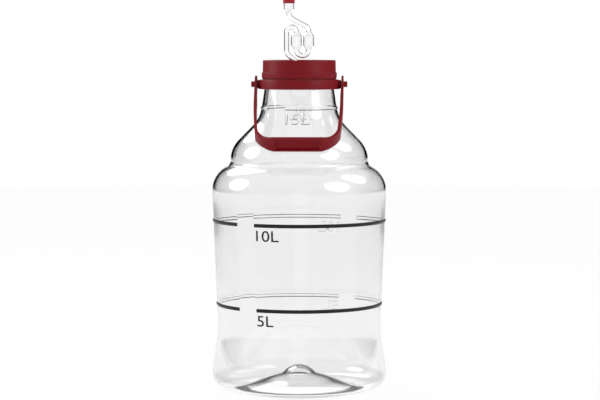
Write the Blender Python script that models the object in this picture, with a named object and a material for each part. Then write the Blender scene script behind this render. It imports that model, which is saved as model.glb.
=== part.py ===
"""Clear wide-mouth carboy with a red screw lid, a carrying bail and a twin-bubble airlock.

Metres, +Z up, the front of the carboy faces -Y. The origin is the centre of the foot ring,
on the surface that the carboy stands on.
"""

import math

import bmesh
import bpy
from mathutils import Vector

# Clearances that several pieces share
SEAT_GAP = 0.0003
THREAD_GAP = 0.0005
CUT_OVERRUN = 0.002
WELD_DISTANCE = 0.0000001

# Smoothness of the turned and swept shapes
TURN_STEPS = 36
SMALL_TURN_STEPS = 24
ARC_STEPS = 4
BEND_STEPS = 4
HALF_TUBE_STEPS = 6
VENT_STEPS = 12
SMOOTH_ANGLE = math.radians(35)

# Jar body, outside sizes
JAR_WALL = 0.0012
FOOT_OUTER_R = 0.0925
FOOT_RING_W = 0.0135
PUSH_UP_H = 0.0202
PUSH_UP_BULGE = 0.0020
NIPPLE_H = 0.0116
NIPPLE_R = 0.0204
BASE_R = 0.1224
BASE_CORNER_R = 0.0200
BASE_BAND_H = 0.0059
FOOT_CONE_LEAN = math.radians(17.6)
WAIST_R = 0.1139
WAIST_Z = 0.0850
WAIST_BLEND_R = 0.1300
BODY_TOP_R = 0.1223
BODY_TOP_Z = 0.2806
SHOULDER_BULGE_R = 0.0393
GROOVE_R = 0.0968
GROOVE_BLEND_R = 0.0045
GROOVE_H = 0.0021
UPPER_BULGE_R = 0.0430
UPPER_BULGE_ANGLE = math.radians(43.5)
NECK_SWEEP_H = 0.1006
NECK_FOOT_LEAN = math.radians(7.5)
NECK_PULL_SHARES = (0.55, 0.60)

# Jar neck and thread finish
NECK_R = 0.0484
NECK_FOOT_STEP = 0.0006
NECK_FOOT_H = 0.0049
BEAD_RELIEF = 0.0022
BEAD_H = 0.0017
FINISH_STEP = 0.0005
FINISH_H = 0.0225
FINISH_WALL = 0.0023
RIM_CHAMFER = 0.0006
THREAD_PITCH = 0.0060
THREAD_TURNS = 1.25
THREAD_DEPTH = 0.0014
THREAD_ROOT_W = 0.0022
THREAD_CREST_W = 0.0010
THREAD_START_H = 0.0100
THREAD_ROOT_SINK = 0.0004
THREAD_FADE_STEPS = 3

# Raised volume marks at 5, 10 and 15 litres
MARK_HEIGHTS = (0.1223, 0.2393, 0.3970)
MARK_H = 0.0045
MARK_RELIEF = 0.0006
MARK_GAP_L = 0.0300
MARK_GAP_ANGLE = math.radians(-126)

# Screw lid
LID_TOP_T = 0.0020
LID_SKIRT_T = 0.0015
LID_DRAFT = 0.0004
LID_TOP_CHAMFER = 0.0015
LID_BAND_T = 0.0013
LID_BAND_H = 0.0073
LID_BAND_CHAMFER = 0.0006
LID_BEAD_CLEARANCE = 0.0005
LID_PLUG_CLEARANCE = 0.0012
LID_PLUG_T = 0.0024
LID_RECESS_DEPTH = 0.0140
LID_FLOOR_T = 0.0024
LID_HOLE_R = 0.0065
GASKET_T = 0.0017

# Collar on the neck that carries the bail
COLLAR_H = 0.0131
COLLAR_BORE_CLEARANCE = 0.0004
COLLAR_WALL = 0.0062
COLLAR_FLARE = 0.0016
COLLAR_EDGE = 0.0012
BOSS_R = 0.0060
BOSS_STEP = 0.0013
PIN_R = 0.0041
PIN_END_L = 0.0053
PIN_CHAMFER = 0.0006
PIN_SINK = 0.0030

# Bail
BAIL_T = 0.0030
BAIL_GRIP_T = 0.0038
BAIL_EYE_R = 0.0120
BAIL_ARM_W = 0.0165
BAIL_GRIP_W = 0.0230
BAIL_REACH = 0.1285
BAIL_CORNER_R = 0.0270
BAIL_LEAN = 0.0030
BAIL_NECKING_L = 0.0380
BAIL_GRIP_HALF_L = 0.0330
BAIL_FLARE_L = 0.0140
BAIL_EYE_CLEARANCE = 0.0003
BAIL_SIDE_CLEARANCE = 0.0005
GRIP_PANEL_BORDER = 0.0030
GRIP_PANEL_DEPTH = 0.0012
REST_SEARCH_FROM = math.radians(10)
REST_SEARCH_TO = math.radians(90)
REST_SEARCH_STEPS = 50

# Airlock: one bent tube with two bubble chambers and a cup
TUBE_R = 0.0035
AIRLOCK_WALL = 0.0010
AIRLOCK_SEAM = 0.0003
STEM_DROP = 0.0139
ELBOW_RISE = 0.0071
ELBOW_SLOPE = math.radians(43)
BEND_R = 0.0080
BUBBLE_R = 0.0075
BUBBLE_H = 0.0244
BUBBLE_RISE = 0.0217
BUBBLE_CONE_H = 0.0056
LEFT_BUBBLE_X = -0.0042
BUBBLE_GAP = 0.00235
RISER_GAP = 0.0026
CUP_SHIFT = 0.0033
CUP_R = 0.0072
CUP_RISE = 0.0169
CUP_NECK_L = 0.0016
CUP_CONE_H = 0.0048
CUP_H = 0.0199
CROSSOVER_SLOPE = math.radians(28.6)

# Grommet and dust cap
GROMMET_FLANGE_R = 0.0092
GROMMET_FLANGE_T = 0.0020
GROMMET_EDGE = 0.0005
DUST_CAP_T = 0.0006
DUST_CAP_TOP_T = 0.0012
DUST_CAP_SKIRT_L = 0.0073
DUST_CAP_EDGE = 0.0006
VENT_R = 0.0006
VENT_CIRCLE_R = 0.0035
VENT_COUNT = 4

# The lower bulge's centre, and the groove's hollow that touches it
BULGE_X = BODY_TOP_R - SHOULDER_BULGE_R
HOLLOW_X = GROOVE_R + GROOVE_BLEND_R
HOLLOW_RISE = math.sqrt((SHOULDER_BULGE_R + GROOVE_BLEND_R) ** 2 - (HOLLOW_X - BULGE_X) ** 2)

# Heights that follow from the sizes above, from the shoulder up to the airlock's rim
GROOVE_Z = BODY_TOP_Z + HOLLOW_RISE + GROOVE_H
NECK_FOOT_Z = GROOVE_Z + NECK_SWEEP_H
NECK_STRAIGHT_Z = NECK_FOOT_Z + NECK_FOOT_H
COLLAR_BOTTOM_Z = NECK_FOOT_Z
COLLAR_TOP_Z = COLLAR_BOTTOM_Z + COLLAR_H
PIVOT_Z = COLLAR_BOTTOM_Z + COLLAR_H / 2
BEAD_Z = COLLAR_TOP_Z + SEAT_GAP
THREAD_START_Z = BEAD_Z + THREAD_START_H
FINISH_TOP_Z = BEAD_Z + FINISH_H
LID_BOTTOM_Z = BEAD_Z + BEAD_H + LID_BEAD_CLEARANCE
LID_UNDERSIDE_Z = FINISH_TOP_Z + 2 * SEAT_GAP + GASKET_T
LID_TOP_Z = LID_UNDERSIDE_Z + LID_TOP_T
LID_FLOOR_Z = LID_TOP_Z - LID_RECESS_DEPTH
STEM_BOTTOM_Z = LID_FLOOR_Z - LID_FLOOR_T - STEM_DROP
ELBOW_Z = LID_FLOOR_Z + ELBOW_RISE
BUBBLE_BOTTOM_Z = ELBOW_Z + BUBBLE_RISE
BUBBLE_TOP_Z = BUBBLE_BOTTOM_Z + BUBBLE_H

# Radii and places across that follow from the sizes above
FOOT_INNER_R = FOOT_OUTER_R - FOOT_RING_W
NECK_FOOT_R = NECK_R + NECK_FOOT_STEP
BEAD_R = NECK_R + BEAD_RELIEF
FINISH_R = NECK_R - FINISH_STEP
MOUTH_R = FINISH_R - FINISH_WALL
LID_BORE_R = FINISH_R + THREAD_DEPTH + THREAD_GAP
LID_SKIRT_R = LID_BORE_R + LID_SKIRT_T
LID_PLUG_R = MOUTH_R - LID_PLUG_CLEARANCE
COLLAR_BORE_R = NECK_FOOT_R + COLLAR_BORE_CLEARANCE
COLLAR_TOP_R = COLLAR_BORE_R + COLLAR_WALL
COLLAR_FOOT_R = COLLAR_TOP_R + COLLAR_FLARE
BOSS_X = COLLAR_FOOT_R + BOSS_STEP
EYE_INNER_X = BOSS_X + BAIL_SIDE_CLEARANCE
PIN_TIP_X = EYE_INNER_X + BAIL_T + PIN_END_L
RIGHT_BUBBLE_X = LEFT_BUBBLE_X + 2 * BUBBLE_R + BUBBLE_GAP
RISER_X = LEFT_BUBBLE_X - BUBBLE_R - TUBE_R - RISER_GAP
CUP_X = RISER_X + CUP_SHIFT
ARCH_R = (LEFT_BUBBLE_X - RISER_X) / 2
CUP_NECK_Z = BUBBLE_TOP_Z + ARCH_R + TUBE_R + CUP_RISE
CUP_RIM_Z = CUP_NECK_Z + CUP_H


def make_material(name, colour, roughness, alpha=1.0):
    """A Principled material; a clear plastic has an alpha below 1."""
    material = bpy.data.materials.new(name)
    material.use_nodes = True
    shader = material.node_tree.nodes["Principled BSDF"]
    shader.inputs["Base Color"].default_value = (*colour, 1.0)
    shader.inputs["Roughness"].default_value = roughness
    shader.inputs["Metallic"].default_value = 0.0
    shader.inputs["Alpha"].default_value = alpha
    material.diffuse_color = (*colour, alpha)
    return material


def make_object(name, bm, material, origin=Vector()):
    """Turn a bmesh in world space into an object whose origin is the given point."""
    bmesh.ops.remove_doubles(bm, verts=bm.verts, dist=WELD_DISTANCE)
    bmesh.ops.recalc_face_normals(bm, faces=bm.faces)
    bmesh.ops.translate(bm, verts=bm.verts, vec=-origin)
    mesh = bpy.data.meshes.new(name)
    bm.to_mesh(mesh)
    bm.free()
    mesh.shade_smooth()
    mesh.set_sharp_from_angle(angle=SMOOTH_ANGLE)
    mesh.materials.append(material)
    obj = bpy.data.objects.new(name, mesh)
    obj.location = origin
    bpy.context.collection.objects.link(obj)
    return obj


def hide_helper(obj):
    """Keep a cutter or an added shape out of the finished model."""
    obj.hide_render = True
    obj.display_type = "WIRE"


def add_boolean(obj, helper, operation):
    """Cut or join a helper shape, which then stays hidden."""
    hide_helper(helper)
    modifier = obj.modifiers.new(helper.name, "BOOLEAN")
    modifier.operation = operation
    modifier.object = helper
    modifier.solver = "EXACT"


def turn_outline(outline, steps, closed):
    """Spin an (r, z) outline round Z. An open outline has both ends on the axis."""
    bm = bmesh.new()
    verts = [bm.verts.new((r, 0.0, z)) for r, z in outline]
    edges = [bm.edges.new(pair) for pair in zip(verts, verts[1:])]
    if closed:
        edges.append(bm.edges.new((verts[-1], verts[0])))
    bmesh.ops.spin(
        bm,
        geom=verts + edges,
        cent=(0.0, 0.0, 0.0),
        axis=(0.0, 0.0, 1.0),
        angle=math.tau,
        steps=steps,
        use_merge=True,
    )
    return bm


def loft(loops):
    """Bridge closed loops of equal length in order and cap both ends."""
    bm = bmesh.new()
    rings = [[bm.verts.new(point) for point in loop] for loop in loops]
    count = len(rings[0])
    for ring, following in zip(rings, rings[1:]):
        for i in range(count):
            j = (i + 1) % count
            bm.faces.new((ring[i], ring[j], following[j], following[i]))
    bm.faces.new(reversed(rings[0]))
    bm.faces.new(rings[-1])
    return bm


def arc(centre, radius, start, end, steps):
    """Points of an arc in the (r, z) plane; the angles are measured from +r towards +z."""
    points = []
    for i in range(steps + 1):
        angle = start + (end - start) * i / steps
        points.append((centre[0] + radius * math.cos(angle), centre[1] + radius * math.sin(angle)))
    return points


def bezier(p0, p1, p2, p3, steps):
    """Points of a cubic curve, without its first point."""
    points = []
    for i in range(1, steps + 1):
        t = i / steps
        u = 1 - t
        weights = (u ** 3, 3 * u * u * t, 3 * u * t * t, t ** 3)
        points.append(tuple(
            sum(weight * point[axis] for weight, point in zip(weights, (p0, p1, p2, p3)))
            for axis in (0, 1)
        ))
    return points


def offset_left(outline, distance):
    """Move an open outline to its left by a wall thickness, with mitred corners."""
    points = [Vector(point) for point in outline]
    moved = []
    for i, point in enumerate(points):
        before = (point - points[i - 1]).normalized() if i else None
        after = (points[i + 1] - point).normalized() if i + 1 < len(points) else None
        first = before or after
        last = after or before
        left = Vector((-first.y, first.x)) + Vector((-last.y, last.x))
        left.normalize()
        mitre = left.dot(Vector((-first.y, first.x)))
        moved.append(tuple(point + left * distance / mitre))
    return moved


def base_outline():
    """Underside and foot: push-up with its nipple, flat foot ring, base corner and band."""
    # The nipple is a cap cut from a ball
    ball_r = (NIPPLE_R ** 2 + NIPPLE_H ** 2) / (2 * NIPPLE_H)
    ball_z = PUSH_UP_H + NIPPLE_H - ball_r
    rim_angle = math.atan2(PUSH_UP_H - ball_z, NIPPLE_R)
    points = arc((0.0, ball_z), ball_r, math.pi / 2, rim_angle, ARC_STEPS)
    points[0] = (0.0, PUSH_UP_H + NIPPLE_H)
    # The push-up falls from the nipple to the foot ring as a cone with a slight bulge
    for i in range(1, ARC_STEPS + 1):
        share = i / ARC_STEPS
        bulge = 4 * PUSH_UP_BULGE * share * (1 - share)
        points.append((
            NIPPLE_R + (FOOT_INNER_R - NIPPLE_R) * share,
            PUSH_UP_H * (1 - share) + bulge,
        ))
    points.append((FOOT_OUTER_R, 0.0))
    # A shallow cone rises from the foot ring and meets the round base corner in line with it
    corner_x = BASE_R - BASE_CORNER_R
    rise = (corner_x - FOOT_OUTER_R) * math.sin(FOOT_CONE_LEAN)
    corner_z = (BASE_CORNER_R + rise) / math.cos(FOOT_CONE_LEAN)
    start = FOOT_CONE_LEAN - math.pi / 2
    points += arc((corner_x, corner_z), BASE_CORNER_R, start, 0.0, ARC_STEPS)
    points.append((BASE_R, corner_z + BASE_BAND_H))
    return points


def body_outline():
    """Flare above the base, waist blend, body and the lower shoulder bulge down to its groove."""
    base_top = Vector(base_outline()[-1])
    waist = Vector((WAIST_R, WAIST_Z))
    top = Vector((BODY_TOP_R, BODY_TOP_Z))
    down = (base_top - waist).normalized()
    up = (top - waist).normalized()
    turn = math.pi - down.angle(up)
    tangent = WAIST_BLEND_R * math.tan(turn / 2)
    points = bezier(
        tuple(waist + down * tangent),
        tuple(waist + down * tangent / 3),
        tuple(waist + up * tangent / 3),
        tuple(waist + up * tangent),
        ARC_STEPS,
    )
    points.insert(0, tuple(waist + down * tangent))
    meet = math.atan2(HOLLOW_RISE, HOLLOW_X - BULGE_X)
    points += arc((BULGE_X, BODY_TOP_Z), SHOULDER_BULGE_R, 0.0, meet, ARC_STEPS + 2)
    # The groove's hollow touches both the bulge below and the straight groove wall
    hollow = (HOLLOW_X, BODY_TOP_Z + HOLLOW_RISE)
    points += arc(hollow, GROOVE_BLEND_R, meet + math.pi, math.pi, ARC_STEPS - 2)[1:]
    return points


def neck_outline():
    """Upper shoulder bulge and the swept neck, up to the collar's seat."""
    centre = (GROOVE_R - UPPER_BULGE_R, GROOVE_Z)
    points = arc(centre, UPPER_BULGE_R, 0.0, UPPER_BULGE_ANGLE, ARC_STEPS)
    start = Vector(points[-1])
    end = Vector((NECK_FOOT_R, NECK_FOOT_Z))
    start_way = Vector((-math.sin(UPPER_BULGE_ANGLE), math.cos(UPPER_BULGE_ANGLE)))
    end_way = Vector((math.sin(NECK_FOOT_LEAN), -math.cos(NECK_FOOT_LEAN)))
    span = (end - start).length
    points += bezier(
        tuple(start),
        tuple(start + start_way * span * NECK_PULL_SHARES[0]),
        tuple(end + end_way * span * NECK_PULL_SHARES[1]),
        tuple(end),
        ARC_STEPS + 3,
    )
    return points


def jar_skin():
    """Outside of the blown body from the centre of the base up to the straight neck."""
    return base_outline() + body_outline() + neck_outline() + [(NECK_R, NECK_STRAIGHT_Z)]


def jar_outline():
    """Whole wall of the jar: up the outside, over the rim and down the inside."""
    skin = jar_skin()
    bead_edge = BEAD_H / 4
    finish = [
        (NECK_R, BEAD_Z),
        (BEAD_R - bead_edge, BEAD_Z),
        (BEAD_R, BEAD_Z + bead_edge),
        (BEAD_R, BEAD_Z + BEAD_H - bead_edge),
        (BEAD_R - bead_edge, BEAD_Z + BEAD_H),
        (FINISH_R, BEAD_Z + BEAD_H),
        (FINISH_R, FINISH_TOP_Z - RIM_CHAMFER),
        (FINISH_R - RIM_CHAMFER, FINISH_TOP_Z),
        (MOUTH_R + RIM_CHAMFER, FINISH_TOP_Z),
        (MOUTH_R, FINISH_TOP_Z - RIM_CHAMFER),
        (MOUTH_R, BEAD_Z),
    ]
    inside = offset_left(skin, JAR_WALL)
    inside[0] = (0.0, inside[0][1])
    return skin + finish + inside[::-1]


def radius_at(height):
    """Outside radius of the jar's wall at a height above its base corner."""
    wall = base_outline()[-2:] + body_outline() + neck_outline()
    for (r0, z0), (r1, z1) in zip(wall, wall[1:]):
        if z0 <= height < z1:
            return r0 + (r1 - r0) * (height - z0) / (z1 - z0)
    return NECK_R


def thread_bead(name, root_r, way, start_z, material):
    """Helical thread bead. way is +1 for an outside thread and -1 for an inside one."""
    crest_r = root_r + way * THREAD_DEPTH
    sink_r = root_r - way * THREAD_ROOT_SINK
    # The flanks run on straight into the wall that carries the bead
    flank = (THREAD_ROOT_W - THREAD_CREST_W) / 2 / THREAD_DEPTH
    sink_half_w = THREAD_ROOT_W / 2 + flank * THREAD_ROOT_SINK
    count = round(THREAD_TURNS * TURN_STEPS)
    loops = []
    for i in range(count + 1):
        # Half a step on from the wall's own corners
        angle = math.tau * (i + 1 / 2) / TURN_STEPS
        centre_z = start_z + THREAD_PITCH * i / TURN_STEPS
        # The bead fades in and out over its first and last steps
        fade = min(1.0, (min(i, count - i) + 1) / THREAD_FADE_STEPS)
        tip_r = root_r + (crest_r - root_r) * fade
        section = (
            (sink_r, -sink_half_w),
            (tip_r, -THREAD_CREST_W / 2),
            (tip_r, THREAD_CREST_W / 2),
            (sink_r, sink_half_w),
        )
        loops.append([
            Vector((r * math.cos(angle), r * math.sin(angle), centre_z + dz)) for r, dz in section
        ])
    return make_object(name, loft(loops), material)


def volume_mark(name, height, side, material):
    """One raised strip of a volume mark: half the way round, less the gap beside the number."""
    low_r = radius_at(height - MARK_H / 2)
    high_r = radius_at(height + MARK_H / 2)
    gap = MARK_GAP_L / radius_at(height)
    start = MARK_GAP_ANGLE + side * math.pi + gap / 2
    end = MARK_GAP_ANGLE + (side + 1) * math.pi - gap / 2
    sink = JAR_WALL / 2
    section = (
        (low_r - sink, height - MARK_H / 2),
        (low_r + MARK_RELIEF, height - MARK_H / 2),
        (high_r + MARK_RELIEF, height + MARK_H / 2),
        (high_r - sink, height + MARK_H / 2),
    )
    steps = TURN_STEPS // 2
    loops = []
    for i in range(steps + 1):
        angle = start + (end - start) * i / steps
        loops.append([Vector((r * math.cos(angle), r * math.sin(angle), z)) for r, z in section])
    return make_object(name, loft(loops), material)


def build_jar(clear):
    """Blown clear jar with its neck thread, bead and raised volume marks."""
    jar = make_object("jar", turn_outline(jar_outline(), TURN_STEPS, False), clear)
    thread = thread_bead("jar_thread_shape", FINISH_R, 1, THREAD_START_Z, clear)
    add_boolean(jar, thread, "UNION")
    for number, height in enumerate(MARK_HEIGHTS):
        for side in (0, 1):
            strip = volume_mark(f"mark_shape_{number}_{side}", height, side, clear)
            add_boolean(jar, strip, "UNION")
    return jar


def build_lid(red):
    """Screw lid: threaded skirt with a wider band, and a deep round recess in its top."""
    band_r = LID_SKIRT_R + LID_BAND_T
    band_top_z = LID_BOTTOM_Z + LID_BAND_H
    top_r = LID_SKIRT_R - LID_DRAFT
    recess_r = LID_PLUG_R - LID_PLUG_T
    outline = [
        (LID_BORE_R, LID_BOTTOM_Z),
        (band_r, LID_BOTTOM_Z),
        (band_r, band_top_z - LID_BAND_CHAMFER),
        (band_r - LID_BAND_CHAMFER, band_top_z),
        (LID_SKIRT_R, band_top_z),
        (top_r, LID_TOP_Z - LID_TOP_CHAMFER),
        (top_r - LID_TOP_CHAMFER, LID_TOP_Z),
        (recess_r, LID_TOP_Z),
        (recess_r, LID_FLOOR_Z),
        (LID_HOLE_R, LID_FLOOR_Z),
        (LID_HOLE_R, LID_FLOOR_Z - LID_FLOOR_T),
        (LID_PLUG_R - LID_BAND_CHAMFER, LID_FLOOR_Z - LID_FLOOR_T),
        (LID_PLUG_R, LID_FLOOR_Z - LID_FLOOR_T + LID_BAND_CHAMFER),
        (LID_PLUG_R, LID_UNDERSIDE_Z),
        (LID_BORE_R, LID_UNDERSIDE_Z),
    ]
    lid = make_object("screw_lid", turn_outline(outline, TURN_STEPS, True), red)
    # The lid's thread pulls from below the jar's thread, flank beside flank
    overlap = THREAD_DEPTH - THREAD_GAP
    flank = (THREAD_ROOT_W - THREAD_CREST_W) / 2 / THREAD_DEPTH
    below = THREAD_CREST_W + flank * overlap + THREAD_GAP
    thread = thread_bead("lid_thread_shape", LID_BORE_R, -1, THREAD_START_Z - below, red)
    add_boolean(lid, thread, "UNION")
    return lid


def build_gasket(rubber):
    """Flat sealing ring between the rim and the lid's underside."""
    bottom_z = FINISH_TOP_Z + SEAT_GAP
    inner_r = LID_PLUG_R + SEAT_GAP
    outer_r = LID_BORE_R - SEAT_GAP
    outline = [
        (inner_r, bottom_z),
        (outer_r, bottom_z),
        (outer_r, bottom_z + GASKET_T),
        (inner_r, bottom_z + GASKET_T),
    ]
    return make_object("lid_gasket", turn_outline(outline, TURN_STEPS, True), rubber)


def x_cylinder(name, radius, start_x, end_x, chamfer, steps, material):
    """Round bar along X at the pivot's height; its end_x end is chamfered."""
    way = math.copysign(1.0, end_x - start_x)
    stations = [(start_x, radius), (end_x - way * chamfer, radius), (end_x, radius - chamfer)]
    if chamfer == 0:
        stations = [(start_x, radius), (end_x, radius)]
    loops = []
    for x, r in stations:
        loops.append([
            Vector((x, r * math.cos(math.tau * k / steps), PIVOT_Z + r * math.sin(math.tau * k / steps)))
            for k in range(steps)
        ])
    return make_object(name, loft(loops), material)


def build_collar(red):
    """Ring under the neck bead, with a boss and a pivot pin on each side."""
    edge = COLLAR_EDGE
    outline = [
        (COLLAR_BORE_R, COLLAR_BOTTOM_Z),
        (COLLAR_FOOT_R - edge / 2, COLLAR_BOTTOM_Z),
        (COLLAR_FOOT_R, COLLAR_BOTTOM_Z + edge / 2),
        (COLLAR_TOP_R, COLLAR_TOP_Z - edge),
        (COLLAR_TOP_R - edge / 3, COLLAR_TOP_Z - edge / 3),
        (COLLAR_TOP_R - edge, COLLAR_TOP_Z),
        (COLLAR_BORE_R, COLLAR_TOP_Z),
    ]
    collar = make_object(
        "handle_collar",
        turn_outline(outline, TURN_STEPS, True),
        red,
        Vector((0.0, 0.0, PIVOT_Z)),
    )
    middle_x = (COLLAR_BORE_R + COLLAR_TOP_R) / 2
    for side, word in ((-1, "left"), (1, "right")):
        boss = x_cylinder(
            f"boss_shape_{word}", BOSS_R, side * middle_x, side * BOSS_X, 0, SMALL_TURN_STEPS, red
        )
        add_boolean(collar, boss, "UNION")
        pin = x_cylinder(
            f"pin_shape_{word}", PIN_R, side * (BOSS_X - PIN_SINK), side * PIN_TIP_X, PIN_CHAMFER,
            SMALL_TURN_STEPS, red,
        )
        add_boolean(collar, pin, "UNION")
    return collar


def bail_stations():
    """Stations along half of the strap as (x, reach, x normal, reach normal, thickness, width)."""
    outer_x = EYE_INNER_X + BAIL_T / 2
    corner_reach = BAIL_REACH - BAIL_CORNER_R
    stations = []
    # Round eye end, from its tip past the pivot
    for i in range(1, 2 * ARC_STEPS):
        angle = math.pi * i / (3 * ARC_STEPS)
        reach = -BAIL_EYE_R * math.cos(angle)
        stations.append((outer_x, reach, 1.0, 0.0, BAIL_T, 2 * BAIL_EYE_R * math.sin(angle)))
    # The arm narrows from the eye to its own width
    last_reach = stations[-1][1]
    last_width = stations[-1][5]
    for i in range(1, ARC_STEPS + 1):
        share = i / ARC_STEPS
        ease = share * share * (3 - 2 * share)
        reach = last_reach + (BAIL_NECKING_L - last_reach) * share
        width = last_width + (BAIL_ARM_W - last_width) * ease
        stations.append((outer_x, reach, 1.0, 0.0, BAIL_T, width))
    # It then leans in towards the corner, a little more with every step
    steepest = 2 * BAIL_LEAN / (corner_reach - BAIL_NECKING_L)
    for i in range(1, ARC_STEPS):
        share = i / ARC_STEPS
        reach = BAIL_NECKING_L + (corner_reach - BAIL_NECKING_L) * share
        lean = math.atan(steepest * share)
        x = outer_x - BAIL_LEAN * share * share
        stations.append((x, reach, math.cos(lean), math.sin(lean), BAIL_T, BAIL_ARM_W))
    # The corner turns into the straight grip
    start = math.atan(steepest)
    centre_x = outer_x - BAIL_LEAN - BAIL_CORNER_R * math.cos(start)
    for i in range(2 * ARC_STEPS + 1):
        angle = start + (math.pi / 2 - start) * i / (2 * ARC_STEPS)
        x = centre_x + BAIL_CORNER_R * math.cos(angle)
        reach = corner_reach + BAIL_CORNER_R * math.sin(angle)
        stations.append((
            x, reach, math.cos(angle), math.sin(angle), strap_thickness(x), strap_width(x),
        ))
    # Where the straight run is longer than the grip, the strap reaches full width inside it
    if centre_x > BAIL_GRIP_HALF_L:
        stations.append((BAIL_GRIP_HALF_L, BAIL_REACH, 0.0, 1.0, BAIL_GRIP_T, BAIL_GRIP_W))
    return stations


def grip_share(x):
    """0 on the arm, 1 on the grip, and in between where the strap widens."""
    share = (BAIL_GRIP_HALF_L + BAIL_FLARE_L - abs(x)) / BAIL_FLARE_L
    return min(1.0, max(0.0, share))


def strap_thickness(x):
    """Thickness of the strap at a distance from the middle of the grip."""
    return BAIL_T + (BAIL_GRIP_T - BAIL_T) * grip_share(x)


def strap_width(x):
    """Width of the strap at a distance from the middle of the grip."""
    return BAIL_ARM_W + (BAIL_GRIP_W - BAIL_ARM_W) * grip_share(x)


def grip_gap(tilt):
    """Least gap between the grip's lower inner edge and the jar's skin at a tilt."""
    inner = BAIL_REACH - BAIL_GRIP_T / 2
    half = BAIL_GRIP_W / 2
    forward = inner * math.sin(tilt) - half * math.cos(tilt)
    height = PIVOT_Z - inner * math.cos(tilt) - half * math.sin(tilt)
    edge = Vector((forward, height))
    skin = jar_skin()
    least = None
    for first, second in zip(skin, skin[1:]):
        a = Vector(first)
        along = Vector(second) - a
        share = min(1.0, max(0.0, (edge - a).dot(along) / along.length_squared))
        offset = edge - (a + along * share)
        distance = math.copysign(offset.length, offset.dot(Vector((along.y, -along.x))))
        if least is None or abs(distance) < abs(least):
            least = distance
    return least


def rest_tilt():
    """Angle of the bail from straight down when its grip rests on the jar's shoulder."""
    low = REST_SEARCH_FROM
    high = REST_SEARCH_TO
    for _ in range(REST_SEARCH_STEPS):
        middle = (low + high) / 2
        if grip_gap(middle) < SEAT_GAP:
            low = middle
        else:
            high = middle
    return high


def bail_point(x, reach, across, tilt):
    """World point of the strap: reach runs from the pivot to the grip, across lies along its width."""
    return Vector((
        x,
        -reach * math.sin(tilt) - across * math.cos(tilt),
        PIVOT_Z - reach * math.cos(tilt) + across * math.sin(tilt),
    ))


def build_bail(red):
    """Strap bail with two eyes and a wider grip, resting forward on the shoulder."""
    tilt = rest_tilt()
    half = bail_stations()
    mirrored = [(-x, reach, -nx, nr, t, w) for x, reach, nx, nr, t, w in reversed(half)]
    loops = []
    for x, reach, normal_x, normal_reach, thickness, width in half + mirrored:
        out_x = normal_x * thickness / 2
        out_reach = normal_reach * thickness / 2
        corners = ((1, 1), (1, -1), (-1, -1), (-1, 1))
        loops.append([
            bail_point(x + side * out_x, reach + side * out_reach, edge * width / 2, tilt)
            for side, edge in corners
        ])
    pivot = Vector((0.0, 0.0, PIVOT_Z))
    bail = make_object("bail_handle", loft(loops), red, pivot)
    eye_r = PIN_R + BAIL_EYE_CLEARANCE
    for side, word in ((-1, "left"), (1, "right")):
        hole = x_cylinder(
            f"eye_cutter_{word}", eye_r, side * (EYE_INNER_X - CUT_OVERRUN),
            side * (EYE_INNER_X + BAIL_T + CUT_OVERRUN), 0, SMALL_TURN_STEPS, red,
        )
        add_boolean(bail, hole, "DIFFERENCE")
    outer = BAIL_REACH + BAIL_GRIP_T / 2
    panel_x = BAIL_GRIP_HALF_L - GRIP_PANEL_BORDER
    panel_w = BAIL_GRIP_W / 2 - GRIP_PANEL_BORDER
    panel_loops = [
        [
            bail_point(x, reach, across, tilt)
            for reach, across in (
                (outer - GRIP_PANEL_DEPTH, -panel_w),
                (outer + CUT_OVERRUN, -panel_w),
                (outer + CUT_OVERRUN, panel_w),
                (outer - GRIP_PANEL_DEPTH, panel_w),
            )
        ]
        for x in (-panel_x, panel_x)
    ]
    add_boolean(bail, make_object("grip_panel_cutter", loft(panel_loops), red), "DIFFERENCE")
    return bail


def fillet(before, corner, after, radius):
    """Bend of a path in the (x, z) plane: points of the arc that rounds its corner."""
    into = (before - corner).normalized()
    out = (after - corner).normalized()
    half_angle = into.angle(out) / 2
    tangent = radius / math.tan(half_angle)
    start = corner + into * tangent
    middle = (into + out).normalized()
    centre = corner + middle * radius / math.sin(half_angle)
    first = start - centre
    sweep = math.pi - 2 * half_angle
    turn = math.copysign(1.0, into.x * out.y - into.y * out.x) * -1.0
    points = []
    for i in range(BEND_STEPS + 1):
        angle = turn * sweep * i / BEND_STEPS
        cos_a = math.cos(angle)
        sin_a = math.sin(angle)
        points.append(centre + Vector((
            first.x * cos_a - first.y * sin_a,
            first.x * sin_a + first.y * cos_a,
        )))
    return points


def half_turn(centre, radius, start, end):
    """Points of a half turn of the tube, as (x, z)."""
    return [Vector(point) for point in arc(centre, radius, start, end, 2 * BEND_STEPS)]


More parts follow.
